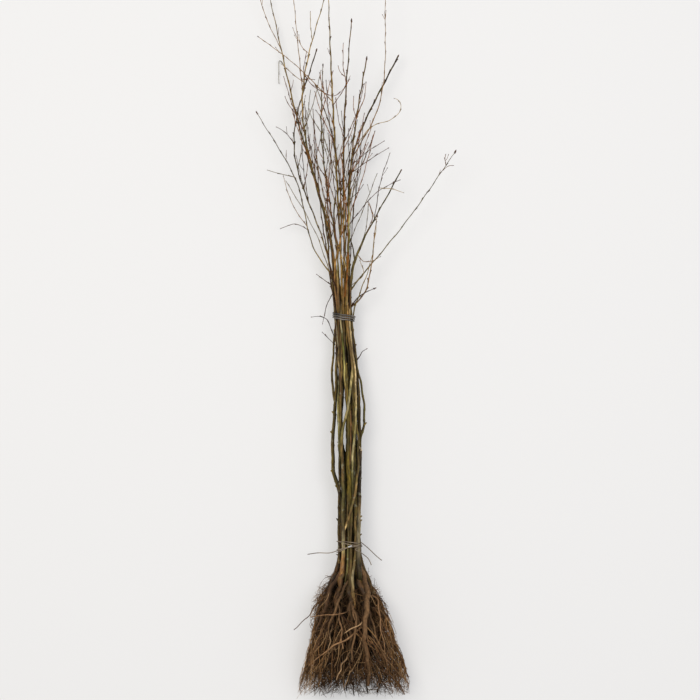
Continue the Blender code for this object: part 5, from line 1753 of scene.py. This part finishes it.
def placed_limb(row, heights, tip_radius, count):
    """A limb through a row's pixels, from its foot in its carrier, with heights by a function."""
    places = np.pad(places_at(row.pixels), ((0, 0), (0, 1)))
    foot = nearest_place(row.carrier, places[0, 0], places[0, 1])
    places[:, 2] = heights(row, places, foot)
    places[0] = foot
    return Limb(curve_through(places, count), taper(row.thick / 2, tip_radius, count))


def rising(row, places, foot):
    """Heights that rise evenly from the foot."""
    return foot[2] + np.linspace(0, row.height, len(places))


rng = default_rng(FINE_SEED + 90)
surfaces = Surfaces()
for row in PLACED_TWIGS:
    limb = placed_limb(row, rising, PLACED_TIP, PLACED_POINTS)
    add_budded(surfaces, rng, limb, TWIG_LOOK._replace(wander=0.3), row.tone, row.thick / 3, 0.0)
make_piece("placed_twigs", surfaces, TWIG_BARK + STRAW_BARK)

# %% [markdown]
# ## Nubs
#
# A twig that broke off at the bundle's edge leaves a nub against the pale ground. It could be a bump in the
# stem's relief, but that is too coarse for its sharp outline, so each is a short cone on the outermost stem.

# %% Nubs at the bark's edges
NUB_RADIUS = 2.6
NUB_REACH = 3.5  # out of the bark
lines = []
for x, y, side in NUBS:
    across, along = at_pixel(x, y)
    strands = sections(in_bundle, along)
    strand = strands[(side * strands[:, 0] + strands[:, 2]).argmax()]  # the one whose bark is outermost there
    foot = np.array((strand[0], along - 4, strand[1]))
    lines.append(foot + np.linspace(0, 1, 5)[:, None] * (side * (strand[2] + NUB_REACH), 9.0, 3.0))
lines = np.array(lines)
surfaces = Surfaces()
surfaces.add(rings(lines, np.full(lines.shape[:2], NUB_RADIUS) * np.linspace(1.2, 0.7, 5), 8), 0)
make_piece("nubs", surfaces, [BARK["09"]])

# %% All buds
grid = buds.grid()
surfaces = Surfaces()
surfaces.add(grid, default_rng(FINE_SEED + 91).integers(0, len(BUD_SCALES), len(grid)))
make_piece("buds", surfaces, BUD_SCALES)
print(len(grid), "buds")

# %% [markdown]
# ## Roots
#
# Lifting leaves a few thick main roots, side roots, and hundreds of fibres that hide what lies behind. Main and
# side roots are the source's limbs, with coarse lumps and long bends.

# %% Main and side roots
ROOT_LOOK_SEED = 500
main_roots = []
side_root_lines = []
for number, whip in enumerate(WHIPS):
    rng = default_rng(ROOT_LOOK_SEED + number)
    surfaces = Surfaces()
    for order, limb in enumerate(pieces["roots_" + whip]):
        if order == 0:
            main_roots.append(add_limb(surfaces, rng, limb, ROOT_LOOK, 0))
        else:
            tone = 1 + int(rng.integers(0, len(ROOT_BARK)))
            side_root_lines.append(add_limb(surfaces, rng, limb, SIDE_ROOT_LOOK, tone))
    make_piece("root_bark_" + whip, surfaces, [BARK[whip], *ROOT_BARK], ["roots_" + whip])

# %% Roots in front, by their pixels
FRONT_REACHED = 0.4  # of its length, by which a root has come up to the front
FRONT_LEFT = 0.65  # of its length, from where it goes down among the others again
FRONT_DIVE = 1.6  # of its diameter, that its tip has gone down
FRONT_ROOTS = [Placed(*row) for row in (
    ("stem_07", 19.0, 0, 6, (359.8, 563, 362.5, 574, 365.8, 584, 367.3, 593, 366.8, 604, 365.3, 617.6,
     364.3, 632.5, 366, 648, 368.7, 669, 368, 684)),
    ("stem_03", 15.0, 2, 18, (342.6, 569, 339.5, 575.5, 334.5, 582, 330, 589.5, 327.5, 601, 322, 616,
     316, 632)),
    ("roots_07", 5.6, 1, -2, (364.5, 621, 356, 630, 346, 637, 335, 642.5, 322, 653, 309, 663.5)),
    ("roots_07", 4.4, 3, -2, (365, 619, 358, 623, 351, 626.5, 344.6, 630.8)),
    ("roots_05", 3.4, 1, 0, (349, 610, 343, 611.3, 335, 612.5, 323, 613.4, 311, 616)),
    ("roots_07", 5.0, 1, 0, (370, 590, 376.8, 598, 379, 611, 380.2, 623, 384, 645, 387, 663.5)),
    ("roots_07", 4.4, 0, 0, (366, 630, 371, 636, 376, 642, 381, 648)),
    ("roots_05", 9.0, 0, 8, (346, 578, 343, 590, 338, 602, 334, 612, 329.7, 623, 326, 642)),
    ("roots_05", 9.0, 0, 8, (354, 603, 355, 613, 356, 626, 353, 640, 352, 660)),
    ("roots_07", 6.0, 0, 4, (368, 600, 372, 620, 378, 640, 388, 660, 399, 672, 409, 683)),
    ("roots_03", 2.2, 2, 0, (325, 598, 316, 603, 310, 614, 304, 619, 298, 626, 294, 629)),
)]
THICK_FRONT = 8.0  # the least diameter of a root that the fibres leave in sight
FRONT_POINTS = 40


def front_height(across, along):
    """The height of the front of the roots: the outline's ellipse."""
    middle, up, half_width, half_depth = read_off(OUTLINE, along)
    share = np.clip((across - middle) / half_width, -0.95, 0.95)
    return up + half_depth * np.sqrt(1 - share**2)


def to_front(row, places, foot):
    """Heights that come up from the foot to the front of the roots, and dive under it again."""
    way = np.linspace(0, 1, len(places))
    share = np.clip(way / FRONT_REACHED, 0, 1)
    share = share * share * (3 - 2 * share)
    dive = FRONT_DIVE * row.thick * np.clip(way - FRONT_LEFT, 0, 1) / (1 - FRONT_LEFT)
    front = front_height(places[:, 0], places[:, 1]) - row.height - row.thick / 2 - dive
    return foot[2] + share * np.maximum(front - foot[2], 0)


FRONT_LOOK = SIDE_ROOT_LOOK._replace(sides=10, wander=1.8)
rng = default_rng(ROOT_LOOK_SEED + 30)
surfaces = Surfaces()
front_roots = [main_roots[number] for number in (2, 4, 6)]
for row in FRONT_ROOTS:
    limb = placed_limb(row, to_front, max(1.2, 0.25 * row.thick), FRONT_POINTS)
    dressed = add_limb(surfaces, rng, limb, FRONT_LOOK, row.tone)
    if row.thick > THICK_FRONT:
        front_roots.append(dressed)
make_piece("front_roots", surfaces, ROOT_BARK)

# %% [markdown]
# ## Root fibres
#
# The fibres branch from the dressed roots in three orders. Each steers from the way it leaves towards the flow,
# which fans out from a point above the collar, with a little noise at each step. All fibres of an order are
# made at once: the only loop is over the steps along them.

# %% Fibres
FLOW_SOURCE = np.array((-18.0, 105.0, 96.0))  # that all roots fan out from
FIBRE_STEPS = 12
ROOT_ENDS = (-389, 22)  # along, between which the fibres keep
# An order of fibres: how many, their shortest and longest length, their radii, the angles at which they leave
# in radians, how strongly they steer to the flow, their noise and their sides
Order = namedtuple("Order", "count length radius spread steer noise sides")
COVERING = 0.12  # the share of the fibres over a front root that are kept
COVERED_BELOW = -260  # along, below which they all are
SHOULDER_ENDS = (-125, -8)  # along, between which the shoulder's fibres leave
COARSE = Order(3000, (60, 220), (0.9, 2.2), (0.35, 1.2), 0.13, 0.09, 5)
CROSSING = Order(520, (50, 150), (0.8, 1.7), (0.9, 1.6), 0.02, 0.09, 5)
SHOULDER = Order(900, (45, 130), (0.6, 1.5), (0.7, 1.5), 0.03, 0.10, 4)
FINE = Order(6300, (18, 75), (0.4, 0.85), (0.4, 1.4), 0.05, 0.17, 3)


def fibre_lines(rng, order, feet, headings):
    """Lines (fibre, step, 3). Each leaves its foot at the spread from the heading, turned at random about it,
    and at every step turns a little to the flow and by noise."""
    count = len(feet)
    first = unit(np.cross(headings, rng.normal(0, 1, (count, 3))))
    angle = rng.uniform(*order.spread, count)[:, None]
    direction = headings * np.cos(angle) + first * np.sin(angle)
    bend = rng.normal(0, order.noise, (count, 3))
    step = (rng.uniform(*order.length, count) / (FIBRE_STEPS - 1))[:, None]
    points = [feet]
    for _ in range(FIBRE_STEPS - 1):
        bend = 0.7 * bend + rng.normal(0, order.noise, (count, 3))
        direction = unit(direction + bend + order.steer * unit(points[-1] - FLOW_SOURCE))
        place = points[-1] + direction * step
        place[:, 2] = np.maximum(place[:, 2], 2.0)
        points.append(place)
    return np.stack(points, axis=1)


def covers_front(lines):
    """Which lines pass over the upper part of a front root, seen from above."""
    covers = np.zeros(len(lines), bool)
    for front in front_roots:
        shown = front.line[:, 1] > COVERED_BELOW
        root, radii = front.line[shown], front.radii[shown]
        apart = np.linalg.norm(lines[:, :, None, :2] - root[:, :2], axis=-1)
        over = (apart < radii + 1.0) & (lines[:, :, None, 2] > root[:, 2])
        covers |= over.any(axis=(1, 2))
    return covers


def fibres(rng, order, carriers, start=1):
    """Fibres of one order, with feet spread evenly over some carriers' lines: lines and radii."""
    feet = np.concatenate([line[start:-1] for line in carriers])
    headings = np.concatenate([unit(line[start + 1:] - line[start - 1:-2]) for line in carriers])
    picks = rng.integers(0, len(feet), order.count)
    lines = fibre_lines(rng, order, feet[picks], headings[picks])
    lines = lines[in_space(ROOT_SPACE, ROOT_ENDS, lines).all(axis=1)]
    lines = lines[~covers_front(lines) | (rng.random(len(lines)) < COVERING)]
    thick = rng.uniform(*order.radius, len(lines))[:, None]
    return lines, thick * (1 - 0.75 * np.linspace(0, 1, FIBRE_STEPS))


def add_fibres(name, rng, order, lines, radii, finishes):
    """One piece of fibres, with tones dealt out by fibre."""
    surfaces = Surfaces()
    grid = rings(lines, radii, order.sides)
    # painted shade: fibres deep in the root mass and on inward flanks are darker
    surfaces.add(grid, rng.integers(0, len(finishes), len(lines)), painted_light_on(grid, lines[:, :, None]))
    make_piece("root_fibres_" + name, surfaces, finishes)
    print(name, len(lines), "fibres of", order.count, "tried")


rng = default_rng(ROOT_LOOK_SEED + 20)
carriers = [dressed.line for dressed in main_roots * 2 + side_root_lines + front_roots[3:]]
coarse, coarse_radii = fibres(rng, COARSE, carriers, 2)
crossing, crossing_radii = fibres(rng, CROSSING, [dressed.line for dressed in main_roots], 4)
high_parts = [line[(line[:, 1] > SHOULDER_ENDS[0]) & (line[:, 1] < SHOULDER_ENDS[1])] for line in carriers]
shoulder, shoulder_radii = fibres(rng, SHOULDER, [line for line in high_parts if len(line) > 4])
fine, fine_radii = fibres(rng, FINE, [*coarse, *crossing, *shoulder])
half = len(fine) // 2
for name, order, lines, radii, finishes in (
    ("coarse", COARSE, coarse, coarse_radii, HAIR_BARK),
    ("crossing", CROSSING, crossing, crossing_radii, ROOT_BARK),
    ("shoulder", SHOULDER, shoulder, shoulder_radii, HAIR_BARK),
    ("fine_1", FINE, fine[:half], fine_radii[:half], HAIR_BARK),
    ("fine_2", FINE, fine[half:], fine_radii[half:], HAIR_BARK),
):
    add_fibres(name, rng, order, lines, radii, finishes)

# %% [markdown]
# ## The wire ties
#
# A wire drawn taut lies on the stems that reach furthest out and runs straight between them. Its place at each
# angle is worked out from the stems' sections, as in the source, so it cuts through none. Bending a curve by
# hand would do for one turn, but not for five.

# %% Wires
WIRE_RADIUS = 1.3
WIRE_CLEARANCE = 0.45  # off the bark, a little more than between flat pieces for the wire's facets
WIRE_STEP = math.radians(24)  # of a turn, between one point of a wire and the next on the same stem
FRONT = math.radians(90)  # the upper side of the bundle as it lies
# A wire round the bundle: how far along it starts and how far each turn moves it on, the angle at which its
# turns start and how far round they go, the places of its loose ends, and how it slants across and strays
Tie = namedtuple("Tie", "along pitch start sweep first_end last_end slant stray")
TIES = {
    "upper_tie": Tie(781, 6.5, -FRONT, math.radians(1080), (), (), -0.16, 2.2),
    "lower_tie": Tie(86, 7, math.radians(102), math.radians(-462),
        ((-149, 42, 90), (-118, 50, 99), (-78, 55, 109), (-58, 64, 118), (-40, 75, 122)),
        ((32, 84, 92), (44, 74, 92), (60, 60, 90), (79, 46, 86)), -0.10, 1.0),
    "lower_tie_second": Tie(78, -5, math.radians(80), math.radians(350), (),
        ((-2, 69, 119), (10, 60, 117), (24, 48, 114), (37, 34, 112), (47, 12, 106)), 0.16, 1.0),
}


def wire_touch(tie, limbs, swept, strand=None):
    """The strand that the wire lies on after turning so far, or the one asked for, and the wire's middle there:
    one wire radius off the bark, square to the way it faces."""
    angle = tie.start + math.copysign(swept, tie.sweep)
    along = tie.along + tie.pitch * swept / (2 * math.pi)
    way = np.array([math.cos(angle), math.sin(angle)])
    strands = sections(limbs, along)
    if strand is None:
        strand = int((strands[:, :2] @ way + strands[:, 2]).argmax())
    across, up, radius = strands[strand]
    off = radius + WIRE_RADIUS + WIRE_CLEARANCE
    return strand, np.array((across + way[0] * off, along, up + way[1] * off))


def tie_limb(tie, limbs):
    """A wire drawn taut: it bends round each strand that reaches furthest out, and runs straight from where it
    leaves one to where it meets the next."""
    swept = 0.0
    strand, point = wire_touch(tie, limbs, swept)
    line = [*tie.first_end, point]
    while swept < abs(tie.sweep) - WIRE_STEP / 2:
        after = swept + WIRE_STEP
        reached, point = wire_touch(tie, limbs, after)
        if reached == strand:
            line.append(point)
        else:
            before = swept
            while after - before > WIRE_STEP / 200:
                middle = (before + after) / 2
                reached, _ = wire_touch(tie, limbs, middle)
                before, after = (middle, after) if reached == strand else (before, middle)
            reached, point = wire_touch(tie, limbs, after)
            line.append(wire_touch(tie, limbs, before, strand)[1])
            line.append(point)
        swept, strand = after, reached
    line = np.array([*line, *tie.last_end])
    far = np.linalg.norm(np.diff(line, axis=0), axis=1) > WIRE_RADIUS
    line = line[np.append(far, True)]
    return Limb(line, np.full(len(line), WIRE_RADIUS))


WIRE_SIDES = 12
UPPER_WIRE = 1.7  # how much thicker the upper wire is
OFF_BARK = 0.8  # how much further off the bark it runs, for the bark's relief
WIRE_POINT_GAP = 1.2
TWIST = ((-24, 79, 124.5), (-13, 83, 124.5))
TWIST_TURNS = 1.5
TWIST_POINTS, KNOT_POINTS = 48, 24
KNOT_END = ((-60, 62.5, 117.5), (-50, 66, 120), (-38, 72, 123), (-24, 79, 124.5))
LOOSE_BELOW = 80.0  # along, below which a wire's loose ends lie
IN_FRONT_FROM = 88.0  # up, above which they are in front


def wire_line(tie, places):
    """A smooth line through a wire's places, which slants across the bundle and strays a little."""
    length = np.linalg.norm(np.diff(places, axis=0), axis=1).sum()
    line = curve_through(places, int(length / WIRE_POINT_GAP))
    way = np.linspace(0, length, len(line))
    middle = section_at(tie.along)
    off = (line - (middle[0], 0, middle[1])) * (1, 0, 1)
    line = line + OFF_BARK * unit(off)
    near = np.clip(1 - np.abs(line[:, 0] - middle[0]) / 60, 0, 1)
    line[:, 1] += tie.slant * (line[:, 0] - middle[0]) + tie.stray * np.sin(way / 29.0 + 1.0) * near
    return line


def over_bark(line):
    """A wire whose loose ends are raised where they would be under the bark."""
    loose = (line[:, 1] < LOOSE_BELOW) & (line[:, 2] > IN_FRONT_FROM)
    tops = [bark_top(in_bundle, x, y) + WIRE_RADIUS for x, y in line[loose, :2]]
    line[loose, 2] = np.maximum(line[loose, 2], tops)
    return line


def twist_lines(start, end, turns, gap):
    """Two wires twisted round each other: a point on the line between the ends, plus half the gap turned round
    it, the wires half a turn apart."""
    reach = np.subtract(end, start)
    way = np.linspace(0, 1, TWIST_POINTS)[:, None]
    off = [around(unit(reach), (0.0, 0.0, 1.0), TURN * turns * way + offset) for offset in (0.0, math.pi)]
    return start + reach * way + gap / 2 * np.array(off)


def add_wires(surfaces, lines, tone, thick=1.0):
    """Wires of one finish, as thick as asked."""
    surfaces.add(rings(lines, np.full(lines.shape[:2], WIRE_RADIUS * thick), WIRE_SIDES), tone)


for name, tie in TIES.items():
    surfaces = Surfaces()
    line = over_bark(wire_line(tie, tie_limb(tie, in_bundle).points))
    upper = name == "upper_tie"
    add_wires(surfaces, line[None], int(not upper), UPPER_WIRE if upper else 1.0)
    if name == "lower_tie":
        # the twist takes the pale zinc, a painted glint
        add_wires(surfaces, twist_lines(*TWIST, TWIST_TURNS, 2 * WIRE_RADIUS), 2)
        add_wires(surfaces, curve_through(KNOT_END, KNOT_POINTS)[None], 1)
    make_piece(name + "_wire", surfaces, WIRES, [name])

# %% [markdown]
# ## Floor, light and camera
#
# The photograph looks at the upright bundle from in front. It lies down here, so the camera looks straight
# down, with the tips at the top of the picture, and its height and lens give the measured scale: 700 pixels are
# 2.17 m. The light is an overcast day's: soft, a little stronger from the upper left.

# %% Floor and light
def put(name, data):
    """An object with its data, in the scene."""
    made = bpy.data.objects.new(name, data)
    bpy.context.scene.collection.objects.link(made)
    return made


def soft_light(name, place, size, energy, colour):
    """An area light that looks at the bundle's middle."""
    lamp = bpy.data.lights.new(name, "AREA")
    lamp.shape, lamp.size, lamp.energy, lamp.color = "DISK", size, energy, linear(colour)[:3]
    holder = put(name, lamp)
    holder.location = place
    direction = np.array((0.0, 0.0, 0.08)) - np.array(place)
    tilt = math.acos(-direction[2] / np.linalg.norm(direction))
    holder.rotation_euler = (tilt, 0.0, math.atan2(direction[1], direction[0]) - math.pi / 2)


LIT_FROM_BELOW = 0.3  # the table's own light, so that the gaps between stems show pale
FLOOR_HALF = 15.0  # metres
floor_mesh = bpy.data.meshes.new("floor")
corners = [(x * FLOOR_HALF, y * FLOOR_HALF, 0) for x, y in ((-1, -1), (1, -1), (1, 1), (-1, 1))]
floor_mesh.from_pydata(corners, [], [(0, 1, 2, 3)])
floor = put("floor", floor_mesh)
opal, shader, _ = new_material("opal_table_top", 0.9)
glow = {"Emission Color": linear("f6f6f6"), "Emission Strength": LIT_FROM_BELOW}
feed(shader, {"Base Color": linear("c4c4c4"), **glow})
floor_mesh.materials.append(opal)
soft_light("left", (-2.2, 1.8, 7.2), 4.0, 262, "fffaf2")
soft_light("right", (2.4, 0.8, 7.0), 4.0, 154, "fafaff")
world = bpy.data.worlds.new("overcast")
world.use_nodes = True
feed(world.node_tree.nodes["Background"], {"Color": linear("f4f3f2"), "Strength": 0.53})
bpy.context.scene.world = world
bpy.context.scene.view_settings.view_transform = "Standard"

# %% Camera
PICTURE_PIXELS = 700
PICTURE_WIDTH = PICTURE_PIXELS * PIXEL / METRE
EYE_HEIGHT = 12.0
BUNDLE_HEIGHT = 0.085
SENSOR = 36.0
middle = PICTURE_PIXELS / 2
camera_data = bpy.data.cameras.new("camera")
camera_data.sensor_width = SENSOR
camera_data.lens = SENSOR * EYE_HEIGHT / PICTURE_WIDTH
camera = put("camera", camera_data)
camera.location = (
    (middle - COLLAR_PIXEL[0]) * PIXEL / METRE,
    ((COLLAR_PIXEL[1] - middle) * PIXEL + COLLAR_Y) / METRE,
    EYE_HEIGHT + BUNDLE_HEIGHT,
)
bpy.context.scene.camera = camera
print("lens", round(camera_data.lens, 1), "mm at", [round(v, 3) for v in camera.location])
